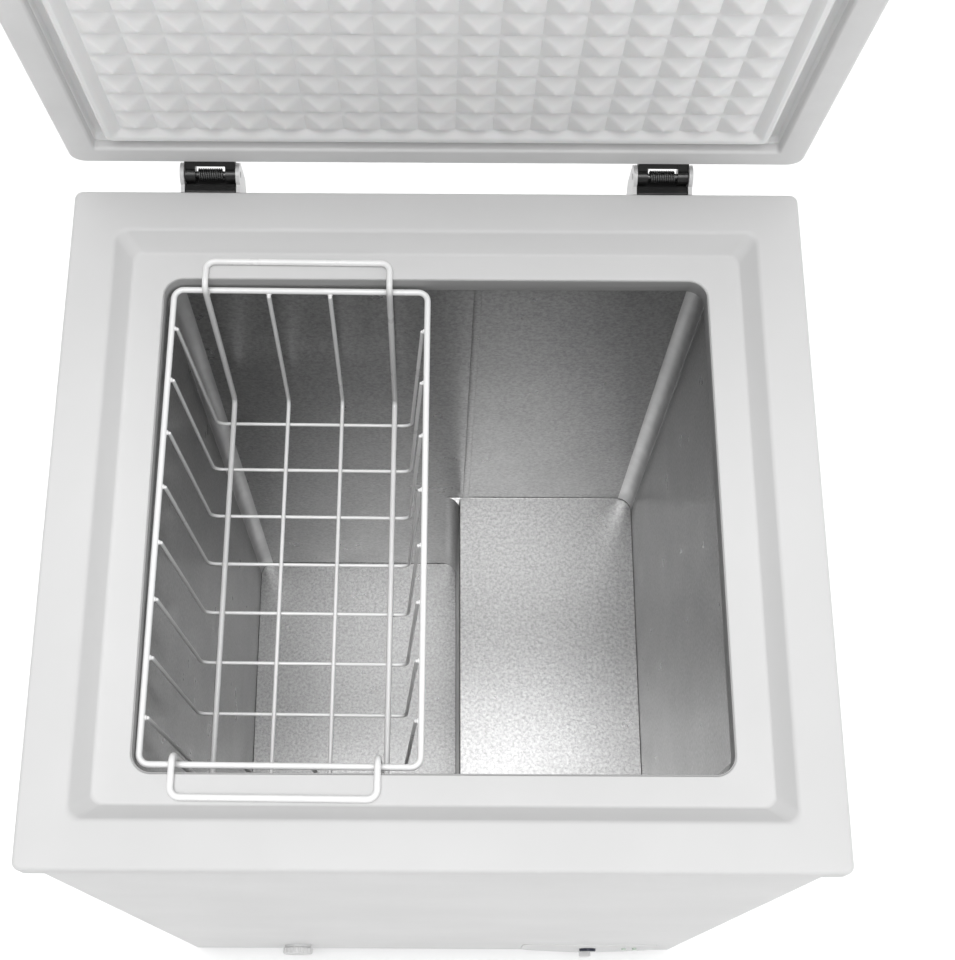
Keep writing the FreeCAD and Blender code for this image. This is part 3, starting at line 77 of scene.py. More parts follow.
# --- mesh helpers -----------------------------------------------------------------------
class Shape:
    """Collects closed surfaces in millimetres and turns them into one piece."""

    def __init__(self):
        self.points, self.faces = [], []

    def add(self, points, faces):
        first = len(self.points)
        self.points += [Vector(p) for p in points]
        self.faces += [[first + i for i in face] for face in faces]

    def loft(self, rings, closed=False):
        """Skin over equal rings; an open loft gets a flat face at both ends."""
        count = len(rings[0])
        points = [p for one in rings for p in one]
        faces = []
        for r in range(len(rings) if closed else len(rings) - 1):
            a, b = r * count, (r + 1) % len(rings) * count
            for k in range(count):
                n = (k + 1) % count
                faces.append([a + k, a + n, b + n, b + k])
        if not closed:
            last = (len(rings) - 1) * count
            faces.append(list(range(count))[::-1])
            faces.append([last + k for k in range(count)])
        self.add(points, faces)

    def tube(self, path, radius, sides=14, closed=False):
        """Round wire along points, with domed ends."""
        path = [Vector(p) for p in path]
        count = len(path)
        heading = []
        for i in range(count):
            before = path[i - 1] if closed or i else path[i]
            after = path[(i + 1) % count] if closed or i < count - 1 else path[i]
            heading.append((after - before).normalized())
        side = heading[0].orthogonal().normalized()
        frames = [side]
        for i in range(1, count):
            side = heading[i - 1].rotation_difference(heading[i]) @ side
            frames.append(side)
        twist = 0.0
        if closed:
            end = heading[-1].rotation_difference(heading[0]) @ side
            twist = end.angle(frames[0])
            if end.cross(frames[0]).dot(heading[0]) < 0:
                twist = -twist
        rings = []
        for i in range(count):
            turn = Matrix.Rotation(twist * i / count, 3, heading[i])
            u = turn @ frames[i]
            v = heading[i].cross(u)
            rings.append((path[i], heading[i], u, v, 1.0))
        if not closed:
            dome = [(0.97, 0.25), (0.80, 0.60), (0.45, 0.90)]
            at, ahead, u, v, _ = rings[0]
            start = [(at - ahead * radius * out, ahead, u, v, size) for size, out in dome[::-1]]
            at, ahead, u, v, _ = rings[-1]
            finish = [(at + ahead * radius * out, ahead, u, v, size) for size, out in dome]
            rings = start + rings + finish
        loops = []
        for at, _, u, v, size in rings:
            angles = [2 * math.pi * k / sides for k in range(sides)]
            loops.append([at + (u * math.cos(a) + v * math.sin(a)) * radius * size
                          for a in angles])
        self.loft(loops, closed)

    def blob(self, centre, reach, rings=5, sides=10):
        """Smooth lump: an ellipsoid with the given half sizes."""
        loops = []
        for r in range(rings + 1):
            tilt = math.pi * (r + 0.5) / (rings + 1) - math.pi / 2
            loops.append([(centre[0] + reach[0] * math.cos(tilt) * math.cos(a),
                           centre[1] + reach[1] * math.cos(tilt) * math.sin(a),
                           centre[2] + reach[2] * math.sin(tilt))
                          for a in [2 * math.pi * k / sides for k in range(sides)]])
        self.loft(loops)

    def turned(self, matrix):
        """Move every point by a matrix given in millimetres."""
        self.points = [matrix @ p for p in self.points]
        return self

    def piece(self, name, slot, body, replaced, matrix=None, sharp=32):
        """Make the object, give it its slot and body; sharp is the crease angle in degrees."""
        mesh = bpy.data.meshes.new(name)
        mesh.from_pydata([p * MM for p in self.points], [], self.faces)
        if matrix is not None:
            mesh.transform(matrix)
        work = bmesh.new()
        work.from_mesh(mesh)
        bmesh.ops.recalc_face_normals(work, faces=work.faces)
        work.to_mesh(mesh)
        work.free()
        mesh.shade_smooth()
        mesh.set_sharp_from_angle(angle=math.radians(sharp))
        obj = bpy.data.objects.new(name, mesh)
        bpy.context.scene.collection.objects.link(obj)
        dress(obj, slot)
        if replaced:
            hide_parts(*replaced)
        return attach(obj, body)


def ring(half_x, half_y, z, radius, middle=(0.0, 0.0), steps=10):
    """Rounded rectangle as a closed loop of points."""
    radius = max(radius, 0.01)
    loop = []
    for sx, sy, start in ((1, 1, 0), (-1, 1, 90), (-1, -1, 180), (1, -1, 270)):
        x, y = middle[0] + sx * (half_x - radius), middle[1] + sy * (half_y - radius)
        for k in range(steps + 1):
            a = math.radians(start + 90 * k / steps)
            loop.append((x + radius * math.cos(a), y + radius * math.sin(a), z))
    return loop


def softened(corners, closed, steps=5):
    """Round a line's corners; each corner is (a, b, radius)."""
    line = []
    count = len(corners)
    for i, (a, b, radius) in enumerate(corners):
        here = Vector((a, b))
        if radius == 0 or (not closed and i in (0, count - 1)):
            line.append((a, b))
            continue
        back = (Vector(corners[i - 1][:2]) - here).normalized()
        ahead = (Vector(corners[(i + 1) % count][:2]) - here).normalized()
        half = back.angle(ahead) / 2
        reach = radius / math.tan(half)
        centre = here + (back + ahead).normalized() * radius / math.sin(half)
        start, end = here + back * reach - centre, here + ahead * reach - centre
        sweep = start.angle_signed(end)
        for k in range(steps + 1):
            t = -sweep * k / steps
            line.append((centre.x + start.x * math.cos(t) - start.y * math.sin(t),
                         centre.y + start.x * math.sin(t) + start.y * math.cos(t)))
    return line


def between(keys, at):
    """Value read off a list of (place, value) pairs."""
    if at <= keys[0][0]:
        return keys[0][1]
    for (a, va), (b, vb) in zip(keys, keys[1:]):
        if at <= b:
            return va + (vb - va) * (at - a) / (b - a)
    return keys[-1][1]


NEARLY_STRAIGHT_DEG = 89.5        # half angle beyond which a corner needs no arc


def bent(points, bend, closed=False, steps=6):
    """Straight runs joined by arcs, as points along the way."""
    points = [Vector(p) for p in points]
    count = len(points)
    line = []
    for i, here in enumerate(points):
        if not closed and i in (0, count - 1):
            line.append(here)
            continue
        back = (points[i - 1] - here).normalized()
        ahead = (points[(i + 1) % count] - here).normalized()
        half = back.angle(ahead) / 2
        if half > math.radians(NEARLY_STRAIGHT_DEG):
            line.append(here)
            continue
        reach = bend / math.tan(half)
        centre = here + (back + ahead).normalized() * bend / math.sin(half)
        start = here + back * reach - centre
        axis = back.cross(ahead).normalized()
        sweep = -(math.pi - 2 * half)
        for k in range(steps + 1):
            line.append(centre + Matrix.Rotation(sweep * k / steps, 3, axis) @ start)
    return line


# --- node helpers -----------------------------------------------------------------------
class Nodes:
    """Small wrapper that builds one material's node tree."""

    def __init__(self, name):
        self.material = bpy.data.materials.new(name)
        self.material.use_nodes = True
        self.tree = self.material.node_tree
        self.tree.nodes.clear()
        self.out = self.tree.nodes.new("ShaderNodeOutputMaterial")
        self.shader = self.tree.nodes.new("ShaderNodeBsdfPrincipled")
        self.link(self.shader.outputs["BSDF"], self.out.inputs["Surface"])
        self.place = self.tree.nodes.new("ShaderNodeTexCoord").outputs["Object"]

    def link(self, a, b):
        self.tree.links.new(a, b)

    def set(self, **values):
        for key, value in values.items():
            self.shader.inputs[key.replace("_", " ")].default_value = value

    def noise(self, scale, detail=3.0, rough=0.5, stretch=(1, 1, 1), distortion=0.0):
        mapping = self.tree.nodes.new("ShaderNodeMapping")
        mapping.inputs["Scale"].default_value = stretch
        self.link(self.place, mapping.inputs["Vector"])
        node = self.tree.nodes.new("ShaderNodeTexNoise")
        node.inputs["Scale"].default_value = scale
        node.inputs["Detail"].default_value = detail
        node.inputs["Roughness"].default_value = rough
        node.inputs["Distortion"].default_value = distortion
        self.link(mapping.outputs["Vector"], node.inputs["Vector"])
        return node.outputs["Fac"]

    def voronoi(self, scale, feature="F1", smooth=None):
        node = self.tree.nodes.new("ShaderNodeTexVoronoi")
        node.feature = feature
        node.inputs["Scale"].default_value = scale
        if smooth is not None:
            node.inputs["Smoothness"].default_value = smooth
        self.link(self.place, node.inputs["Vector"])
        return node.outputs["Distance"]

    def ramp(self, value, stops):
        node = self.tree.nodes.new("ShaderNodeValToRGB")
        ramp = node.color_ramp
        while len(ramp.elements) < len(stops):
            ramp.elements.new(0.5)
        for element, (at, colour) in zip(ramp.elements, stops):
            element.position = at
            element.color = (*colour, 1)
        self.link(value, node.inputs["Fac"])
        return node.outputs["Color"]

    def scaled(self, value, low, high, from_low=0.0, from_high=1.0):
        node = self.tree.nodes.new("ShaderNodeMapRange")
        node.inputs["From Min"].default_value = from_low
        node.inputs["From Max"].default_value = from_high
        node.inputs["To Min"].default_value = low
        node.inputs["To Max"].default_value = high
        self.link(value, node.inputs["Value"])
        return node.outputs["Result"]

    def math(self, operation, a, b):
        node = self.tree.nodes.new("ShaderNodeMath")
        node.operation = operation
        for socket, value in zip(node.inputs, (a, b)):
            if isinstance(value, (int, float)):
                socket.default_value = value
            else:
                self.link(value, socket)
        return node.outputs["Value"]

    def bump(self, height, strength, distance, under=None):
        node = self.tree.nodes.new("ShaderNodeBump")
        node.inputs["Strength"].default_value = strength
        node.inputs["Distance"].default_value = distance
        self.link(height, node.inputs["Height"])
        if under is not None:
            self.link(under, node.inputs["Normal"])
        self.link(node.outputs["Normal"], self.shader.inputs["Normal"])
        return node.outputs["Normal"]

    def colour(self, socket):
        self.link(socket, self.shader.inputs["Base Color"])

    def rough(self, socket):
        self.link(socket, self.shader.inputs["Roughness"])


def grey(value):
    return (value, value, value)


def mottled(nodes, colour, spread, scale):
    """Base colour that wanders a little either side of one colour."""
    low = tuple(c * (1 - spread) for c in colour)
    high = tuple(min(1.0, c * (1 + spread)) for c in colour)
    nodes.colour(nodes.ramp(nodes.noise(scale, 4.0, 0.6), [(0.3, low), (0.7, high)]))


# --- materials --------------------------------------------------------------------------
def painted_steel(name, colour, roughness=0.28, peel=0.05, coat=0.25, specular=0.5):
    """Sprayed enamel: faint orange peel, soft clear gloss, slight tone drift."""
    n = Nodes(name)
    mottled(n, colour, 0.015, 3.0)
    n.rough(n.scaled(n.noise(9.0, 4.0), roughness - 0.05, roughness + 0.07, 0.3, 0.7))
    n.bump(n.noise(380.0, 2.0), peel, 0.0004)
    n.set(Coat_Weight=coat, Coat_Roughness=0.12, Specular_IOR_Level=specular)
    return n.material


def moulded_plastic(name, colour, roughness=0.38, grain=0.12, size=900.0, subsurface=0.0):
    """Injection moulding: fine spark-eroded grain and slow gloss changes."""
    n = Nodes(name)
    mottled(n, colour, 0.02, 5.0)
    n.rough(n.scaled(n.noise(14.0, 3.0), roughness - 0.05, roughness + 0.08, 0.3, 0.7))
    under = n.bump(n.noise(size, 2.0, 0.6), grain, 0.0002)
    n.bump(n.noise(6.0, 2.0), 0.05, 0.002, under)
    if subsurface:
        n.set(Subsurface_Weight=subsurface, Subsurface_Scale=0.004)
    return n.material


def stucco_aluminium(name):
    """Embossed aluminium: small irregular pebbles over the whole sheet."""
    n = Nodes(name)
    pebble = n.voronoi(340.0, "SMOOTH_F1", smooth=0.5)
    ripple = n.noise(480.0, 3.0, 0.6, distortion=0.4)
    height = n.math("ADD", n.math("MULTIPLY", pebble, -1.0), n.math("MULTIPLY", ripple, 0.5))
    n.bump(height, 0.12, 0.0004)
    grain = n.noise(330.0, 3.0, 0.7, distortion=0.3)
    n.colour(n.ramp(grain, [(0.34, grey(0.27)), (0.66, grey(0.43))]))
    n.rough(n.scaled(n.noise(22.0, 4.0, 0.6), 0.27, 0.33, 0.3, 0.7))
    n.set(Metallic=0.80, Coat_Weight=0.28, Coat_Roughness=0.14)
    return n.material


def bend_highlight_aluminium(name):
    """Smooth aluminium for strips along the corner bends; its lighter colour is a painted highlight, the
    reflection running down each rounded corner.
    """
    n = Nodes(name)
    n.colour(n.ramp(n.noise(60.0, 3.0, 0.5), [(0.3, grey(0.70)), (0.7, grey(0.78))]))
    n.rough(n.scaled(n.noise(40.0, 3.0, 0.6), 0.38, 0.46, 0.3, 0.7))
    n.set(Metallic=1.0)
    return n.material


def plain_aluminium(name):
    n = Nodes(name)
    mottled(n, (0.74, 0.75, 0.77), 0.05, 30.0)
    n.rough(n.scaled(n.noise(60.0, 4.0), 0.28, 0.42, 0.3, 0.7))
    n.bump(n.noise(500.0, 3.0), 0.08, 0.0003)
    n.set(Metallic=1.0)
    return n.material


def galvanised(name):
    """Zinc-coated sheet with soft spangle."""
    n = Nodes(name)
    spangle = n.voronoi(60.0)
    n.colour(n.ramp(spangle, [(0.1, (0.50, 0.51, 0.53)), (0.8, (0.66, 0.67, 0.69))]))
    n.rough(n.scaled(spangle, 0.34, 0.52, 0.1, 0.8))
    n.bump(n.noise(240.0, 3.0), 0.06, 0.0004)
    n.set(Metallic=0.9)
    return n.material


def bare_metal(name, colour, roughness=0.3, streak=(1, 1, 14)):
    """Drawn or turned metal with fine lengthwise marks and light tarnish."""
    n = Nodes(name)
    mottled(n, colour, 0.10, 25.0)
    marks = n.noise(120.0, 4.0, 0.6, streak)
    n.rough(n.scaled(marks, roughness - 0.08, roughness + 0.12, 0.3, 0.7))
    n.bump(n.noise(420.0, 3.0, 0.6, streak), 0.10, 0.0003)
    n.set(Metallic=1.0)
    return n.material


def soft_rubber(name, colour, roughness=0.62):
    n = Nodes(name)
    mottled(n, colour, 0.05, 12.0)
    n.rough(n.scaled(n.noise(30.0, 4.0), roughness - 0.08, roughness + 0.10, 0.3, 0.7))
    n.bump(n.noise(700.0, 3.0), 0.15, 0.0003)
    return n.material


def foam(name):
    """Cut polyurethane foam with small open cells."""
    n = Nodes(name)
    cells = n.voronoi(700.0)
    n.colour(n.ramp(cells, [(0.1, (0.55, 0.46, 0.25)), (0.7, (0.82, 0.73, 0.48))]))
    n.bump(cells, 0.5, 0.0008)
    n.set(Roughness=0.95)
    return n.material


def coated_wire(name):
    """White powder-coated wire: thick soft coat with a little orange peel."""
    n = Nodes(name)
    mottled(n, grey(0.84), 0.02, 20.0)
    n.rough(n.scaled(n.noise(50.0, 3.0), 0.26, 0.40, 0.3, 0.7))
    n.bump(n.noise(600.0, 2.0), 0.12, 0.0003)
    n.set(Coat_Weight=0.3, Coat_Roughness=0.15)
    return n.material


def lens(name, colour):
    n = Nodes(name)
    mottled(n, colour, 0.10, 80.0)
    n.bump(n.noise(900.0, 1.0), 0.05, 0.0002)
    n.set(Roughness=0.12, Coat_Weight=0.6, Coat_Roughness=0.05)
    return n.material


MATERIALS = {
    "white_paint": painted_steel("white_paint", grey(0.60), 0.45, 0.05, 0.03, 0.25),
    "white_plastic": moulded_plastic("white_plastic", grey(0.60), 0.56),
    "liner_aluminium": stucco_aluminium("liner_aluminium"),
    "grey_strip": moulded_plastic("grey_strip", grey(0.36), 0.5),
    "insulating_foam": foam("insulating_foam"),
    "galvanised_steel": galvanised("galvanised_steel"),
    "copper_tube": bare_metal("copper_tube", (0.72, 0.36, 0.22), 0.32),
    "aluminium_tube": plain_aluminium("aluminium_tube"),
    "black_paint": painted_steel("black_paint", grey(0.012), 0.35),
    "black_plastic": moulded_plastic("black_plastic", grey(0.010), 0.42, 0.25, 1400.0),
    "rubber_black": soft_rubber("rubber_black", grey(0.02)),
    "grey_seal": soft_rubber("grey_seal", grey(0.70), 0.5),
    "white_lid_liner": moulded_plastic("white_lid_liner", grey(0.84), 0.34, 0.06, 700.0, 0.05),
    "pale_bracket": painted_steel("pale_bracket", grey(0.62), 0.34),
    "screw_steel": bare_metal("screw_steel", grey(0.50), 0.30),
    "pin_steel": bare_metal("pin_steel", grey(0.16), 0.42),
    "spring_steel": bare_metal("spring_steel", grey(0.15), 0.40),
    "coated_wire": coated_wire("coated_wire"),
    "knob_navy": moulded_plastic("knob_navy", (0.012, 0.016, 0.035), 0.30, 0.15),
    "green_lens": lens("green_lens", (0.40, 0.48, 0.41)),
    "plug_white": soft_rubber("plug_white", grey(0.66)),
}


def dress(obj, slot):
    obj.data.materials.clear()
    obj.data.materials.append(MATERIALS[slot])


SLOTS = {part["node"]: part["material_slot"] for part in frame["record"]["subparts"]}
for node, obj in NODES.items():
    obj.data.materials.clear()
    obj.data.materials.append(MATERIALS[SLOTS[node]])

# --- moulded frame and strip ------------------------------------------------------------
BORDER, SLOPE_END, LEDGE_DROP = 34.0, 46.0, 15.0
SKIRT, FRAME_WALL, OVERHANG = 18.0, 3.0, 4.3
STRIP_WALL, OPENING_CORNER = 0.9, 14.9
OPEN_HALF = (STRIP_HIGH.x / MM, STRIP_HIGH.y / MM)
FRAME_HALF = (RIM_X / MM, RIM_Y / MM)
TOP = RIM_TOP / MM


def frame_ring(inset, z):
    """One loop of the frame: even borders outside, the opening's own insets inside."""
    corner = between([(0, 6.0), (4, 5.0), (BORDER, 9.0), (SLOPE_END, 9.0),
                      (FRAME_HALF[0] - OPEN_HALF[0], OPENING_CORNER)], inset)
    inner_x, inner_y = (FRAME_HALF[k] - OPEN_HALF[k] for k in (0, 1))
    across = inset
    if inset > SLOPE_END:
        across = SLOPE_END + (inset - SLOPE_END) * (inner_y - SLOPE_END) / (inner_x - SLOPE_END)
    return ring(FRAME_HALF[0] - inset, FRAME_HALF[1] - across, TOP + z, corner, steps=14)


def make_frame():
    inner = FRAME_HALF[0] - OPEN_HALF[0]
    profile = softened([
        (0, -SKIRT, 0.8), (0, 0, 2.6), (BORDER, 0, 5.0), (SLOPE_END, -LEDGE_DROP, 3.5),
        (inner, -LEDGE_DROP, 1.2), (inner, -SKIRT, 0.4), (SLOPE_END - FRAME_WALL, -SKIRT, 0),
        (BORDER - FRAME_WALL, -FRAME_WALL, 0), (OVERHANG, -FRAME_WALL, 0),
        (OVERHANG, -SKIRT, 0.4)], True, 6)
    shape = Shape()
    shape.loft([frame_ring(inset, z) for inset, z in profile], True)
    shape.piece("moulded_top_frame", "white_plastic", "cabinet", ["top_frame"])


def make_strip():
    low = (LIP_Z - RIM_TOP) / MM
    profile = softened([(0, -LEDGE_DROP, 0.3), (STRIP_WALL, -LEDGE_DROP, 0.3),
                        (STRIP_WALL, low, 0.3), (0, low, 0.3)], True, 3)
    shape = Shape()
    shape.loft([ring(OPEN_HALF[0] - inset, OPEN_HALF[1] - inset, TOP + z,
                     OPENING_CORNER - inset, steps=14) for inset, z in profile], True)
    shape.piece("opening_edge_strip", "grey_strip", "cabinet", ["opening_strip"])


# --- liner ------------------------------------------------------------------------------
SHEET = LINER_SHEET / MM
LINER_HALF = (LINER_HIGH.x / MM - SHEET, LINER_HIGH.y / MM - SHEET)
WELL_FLOOR, LINER_TOP = LINER_LOW.z / MM + SHEET, LINER_HIGH.z / MM
STEP_DROP, STEP_X = 490.0, 26.0
STEP_TOP = TOP - STEP_DROP
CORNER_BEND, FOLD, NOSE = 15.0, 0.8, 1.5          # bend radii: uprights, folds, step edge
DRAIN = (-152.0, -150.0, 11.0)                    # drain hole: x, y, radius
SEAM_X, SEAM_HALF, SEAM_PROUD = 33.0, 3.0, 0.9
HIGHLIGHT_STRIP_RADII = (CORNER_BEND - 0.5, CORNER_BEND - 0.1)     # inner and outer radius of the painted highlight strips
BEND_START, BEND_SWEEP, BEND_STEPS = 6.0, 78.0, 12      # degrees, degrees, facets
SAME = 1e-6                                             # metres


def liner_bend(a, b):
    """Bend radius of one edge of the plain liner box."""
    if abs(a.x - b.x) < SAME and abs(a.y - b.y) < SAME:
        return CORNER_BEND
    nose = all(abs(p.x - STEP_X * MM) < SAME and abs(p.z - STEP_TOP * MM) < SAME
               for p in (a, b))
    return NOSE if nose else FOLD


def make_liner():
    """Folded sheet: one box with a step, its edges bent, thickened outwards and drained."""
    (half_x, half_y), top = LINER_HALF, LINER_TOP
    outline = [(-half_x, top), (-half_x, WELL_FLOOR), (STEP_X, WELL_FLOOR), (STEP_X, STEP_TOP),
               (half_x, STEP_TOP), (half_x, top)]
    count = len(outline)
    points = [Vector((x, y, z)) * MM for y in (-half_y, half_y) for x, z in outline]
    faces = [list(range(count)), list(range(count, 2 * count))[::-1]]
    faces += [[k, k + count, k + count + 1, k + 1] for k in range(count - 1)]
    mesh = bpy.data.meshes.new("embossed_liner")
    mesh.from_pydata(points, [], faces)
    work = bmesh.new()
    work.from_mesh(mesh)
    bmesh.ops.recalc_face_normals(work, faces=work.faces)
    weights = work.edges.layers.float.new("bevel_weight_edge")
    for edge in work.edges:
        a, b = (v.co for v in edge.verts)
        rim = min(a.z, b.z) > (top - 1) * MM
        edge[weights] = 0.0 if rim else liner_bend(a, b) / CORNER_BEND
    work.to_mesh(mesh)
    work.free()
    obj = bpy.data.objects.new("embossed_liner", mesh)
    bpy.context.scene.collection.objects.link(obj)
    bend = obj.modifiers.new("bend", "BEVEL")
    bend.limit_method, bend.width, bend.segments = "WEIGHT", CORNER_BEND * MM, 7
    bend.use_clamp_overlap = False
    thick = obj.modifiers.new("thickness", "SOLIDIFY")
    thick.thickness, thick.offset = LINER_SHEET, 1.0
    x, y, radius = DRAIN
    plug = Shape()
    plug.loft([[(x + radius * math.cos(a), y + radius * math.sin(a), WELL_FLOOR + z)
                for a in [2 * math.pi * k / 32 for k in range(32)]] for z in (-6, 6)])
    cutter = plug.piece("drain_cutter", "liner_aluminium", "cabinet", [])
    hole = obj.modifiers.new("drain_hole", "BOOLEAN")
    hole.operation, hole.object, hole.solver = "DIFFERENCE", cutter, "EXACT"
    obj.modifiers.new("flat_faces", "WEIGHTED_NORMAL").keep_sharp = True
    mesh.shade_smooth()
    graph = bpy.context.evaluated_depsgraph_get()
    made = bpy.data.meshes.new_from_object(obj.evaluated_get(graph))
    obj.modifiers.clear()
    obj.data = made
    bpy.data.objects.remove(cutter)
    dress(obj, "liner_aluminium")
    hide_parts("inner_liner")
    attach(obj, "cabinet")

    seam = Shape()
    seam.loft([ring(SEAM_HALF, SEAM_PROUD / 2, z, 0.4,
                    (SEAM_X, LINER_HALF[1] - SEAM_PROUD / 2), 4) for z in (STEP_TOP, LINER_TOP)])
    seam.piece("liner_back_seam", "liner_aluminium", "cabinet", [])

    # Thin lighter strips laid inside the four upright bends: a painted highlight standing in for the reflection
    # down each rounded corner.
    highlight_strips = Shape()
    for side_x, side_y in ((-1, -1), (-1, 1), (1, -1), (1, 1)):
        low = (STEP_TOP if side_x > 0 else WELL_FLOOR) + 2.0
        centre = (side_x * (half_x - CORNER_BEND), side_y * (half_y - CORNER_BEND))
        angles = [math.radians(BEND_START + BEND_SWEEP * k / BEND_STEPS)
                  for k in range(BEND_STEPS + 1)]
        loop = [(centre[0] + side_x * radius * math.cos(a),
                 centre[1] + side_y * radius * math.sin(a))
                for radius, turn in zip(HIGHLIGHT_STRIP_RADII, (angles, angles[::-1])) for a in turn]
        highlight_strips.loft([[(x, y, z) for x, y in loop] for z in (low, top - 1.0)])
    highlight_piece = highlight_strips.piece("liner_corner_highlights", "liner_aluminium", "cabinet", [])
    highlight_piece.data.materials[0] = bend_highlight_aluminium("bend_highlight_aluminium")


# --- lid, made closed and turned open with the frame's own hinge ---------------------------
LID_HALF = (FRAME_HALF[0], LID_HALF_Y / MM)
LID_CENTRE = (0.0, LID_MIDDLE / MM)
LID_SKIN = 1.0
GROOVE_OUT, GROOVE_IN, GROOVE_LEVEL = 23.0, 31.0, 14.0
RIDGE_LEVEL, RIDGE_LEAN, CREST = 1.0, 3.5, 39.0
PANEL_HALF = (233.0, 212.0)
PANEL_LEVEL, QUILT_TIP = 6.2, -0.5
COLUMNS, ROWS = 17, 16
FACET_POWER, RIDGE_FALL = 14.0, 10.0      # crispness of a pyramid, ridge's inner slope
LINER_THICK = 2.0


def lid_ring(inset, z, corner):
    return ring(LID_HALF[0] - inset, LID_HALF[1] - inset, TOP + z, corner, LID_CENTRE, 12)


def lid_corner(inset):
    return between([(0, 12.0), (3.6, 9.0), (GROOVE_OUT, 4.0), (GROOVE_IN, 4.0),
                    (GROOVE_IN + RIDGE_LEAN, 6.0), (CREST, 0.3)], inset)


def make_lid_cover():
    """Painted steel cover: inner skin, return flange and rolled outer edge in one loft."""
    low, high = LID_BOTTOM / MM, LID_TOP / MM
    inside = softened([(200, high - LID_SKIN, 0), (LID_SKIN, high - LID_SKIN, 6.0),
                       (LID_SKIN, low + LID_SKIN, 0), (3.4, low + LID_SKIN, 0),
                       (3.4, low, 0.3)], False)
    outside = softened([(3.4, low, 0), (0, low, 1.4), (0, high, 7.0), (200, high, 0)],
                       False, 8)
    shape = Shape()
    shape.loft([lid_ring(inset, z, max(12.0 - inset, 0.5)) for inset, z in inside + outside[1:]])
    shape.piece("lid_cover_sheet", "white_paint", "lid", ["lid_outer_shell"], LID_MATRIX)


def make_gasket():
    """Broad soft seal, gently rounded, its corners turned without a mitre."""
    outer, inner, low = 1.0, GROOVE_OUT - 0.2, LID_BOTTOM / MM
    profile = softened([(outer, low, 0.3), (outer, 0.3, 3.2), (inner, 0.3, 2.2),
                        (inner, low, 0.3)], True, 7)
    shape = Shape()
    shape.loft([lid_ring(inset, z, between([(outer, 11.0), (inner, 2.5)], inset))
                for inset, z in profile], True)
    shape.piece("lid_seal", "grey_seal", "lid", ["lid_gasket"], LID_MATRIX)


def quilt_height(x, y):
    """How far the inner panel stands out at a place on it, in millimetres."""
    pitch_x, pitch_y = 2 * PANEL_HALF[0] / COLUMNS, 2 * PANEL_HALF[1] / ROWS
    stand = 0.0
    if abs(x) < PANEL_HALF[0] and abs(y) < PANEL_HALF[1]:
        u = ((x + PANEL_HALF[0]) / pitch_x) % 1.0 * 2 - 1
        v = ((y + PANEL_HALF[1]) / pitch_y) % 1.0 * 2 - 1
        far = (abs(u) ** FACET_POWER + abs(v) ** FACET_POWER) ** (1 / FACET_POWER)
        slope = max(0.0, 1.0 - far)
        stand = (PANEL_LEVEL - QUILT_TIP) * (math.sqrt((slope + 0.02) ** 2 + 0.0009) - 0.02)
    inward = min(crest_half(0) - abs(x), crest_half(1) - abs(y))
    fall = min(max(1.0 - inward / RIDGE_FALL, 0.0), 1.0)
    ridge = (PANEL_LEVEL - RIDGE_LEVEL) * fall * fall * (3 - 2 * fall)
    return (stand ** 3 + ridge ** 3) ** (1 / 3)


def crest_half(k):
    return LID_HALF[k] - CREST


def grid_lines(half, count, per_cell):
    """Sample places: the quilt's own grid, with a few lines out to the ridge's crest."""
    edge = PANEL_HALF[half]
    pitch = 2 * edge / (count * per_cell)
    inner = [-edge + k * pitch for k in range(count * per_cell + 1)]
    reach = crest_half(half)
    outer = [edge + (reach - edge) * k / 4 for k in range(1, 5)]
    return [-p for p in outer[::-1]] + inner + outer


def make_lid_liner():
    """Thermoformed liner: seal flange, groove and ridge as a ring, quilted panel inside."""
    low, thick = LID_BOTTOM / MM, LINER_THICK
    back = GROOVE_LEVEL + thick
    front = softened([
        (3.6, back, 0), (3.6, low, 0.5), (GROOVE_OUT, low, 1.0), (GROOVE_OUT, GROOVE_LEVEL, 1.5),
        (GROOVE_IN, GROOVE_LEVEL, 1.5), (GROOVE_IN + RIDGE_LEAN, RIDGE_LEVEL, 2.6),
        (CREST, RIDGE_LEVEL, 0)], False, 6)
    behind = [(CREST, RIDGE_LEVEL + thick), (GROOVE_IN + RIDGE_LEAN + 2, RIDGE_LEVEL + thick),
              (GROOVE_IN + 2, back)]
    shape = Shape()
    shape.loft([lid_ring(inset, z, lid_corner(inset)) for inset, z in front + behind], True)
    shape.piece("lid_liner_ridge", "white_lid_liner", "lid", ["lid_liner"], LID_MATRIX)

    xs, ys = grid_lines(0, COLUMNS, 12), grid_lines(1, ROWS, 12)
    across = len(xs)
    face = [(x, y + LID_CENTRE[1], TOP + PANEL_LEVEL - quilt_height(x, y))
            for y in ys for x in xs]
    rear = [(x, y + LID_CENTRE[1], TOP + PANEL_LEVEL + thick) for y in (ys[0], ys[-1])
            for x in (xs[0], xs[-1])]
    cells = []
    for j in range(len(ys) - 1):
        for i in range(across - 1):
            a = j * across + i
            cells.append([a, a + 1, a + across + 1, a + across])
    first, top = len(face), (len(ys) - 1) * across
    cells.append([first, first + 1, first + 3, first + 2])
    cells.append([first, first + 1] + list(range(across))[::-1])
    cells.append([first + 2, first + 3] + [top + k for k in range(across)][::-1])
    cells.append([first, first + 2] + [j * across for j in range(len(ys))][::-1])
    cells.append([first + 1, first + 3] + [(j + 1) * across - 1 for j in range(len(ys))][::-1])
    quilt = Shape()
    quilt.add(face + rear, cells)
    quilt.piece("lid_liner_quilt", "white_lid_liner", "lid", [], LID_MATRIX, 24)


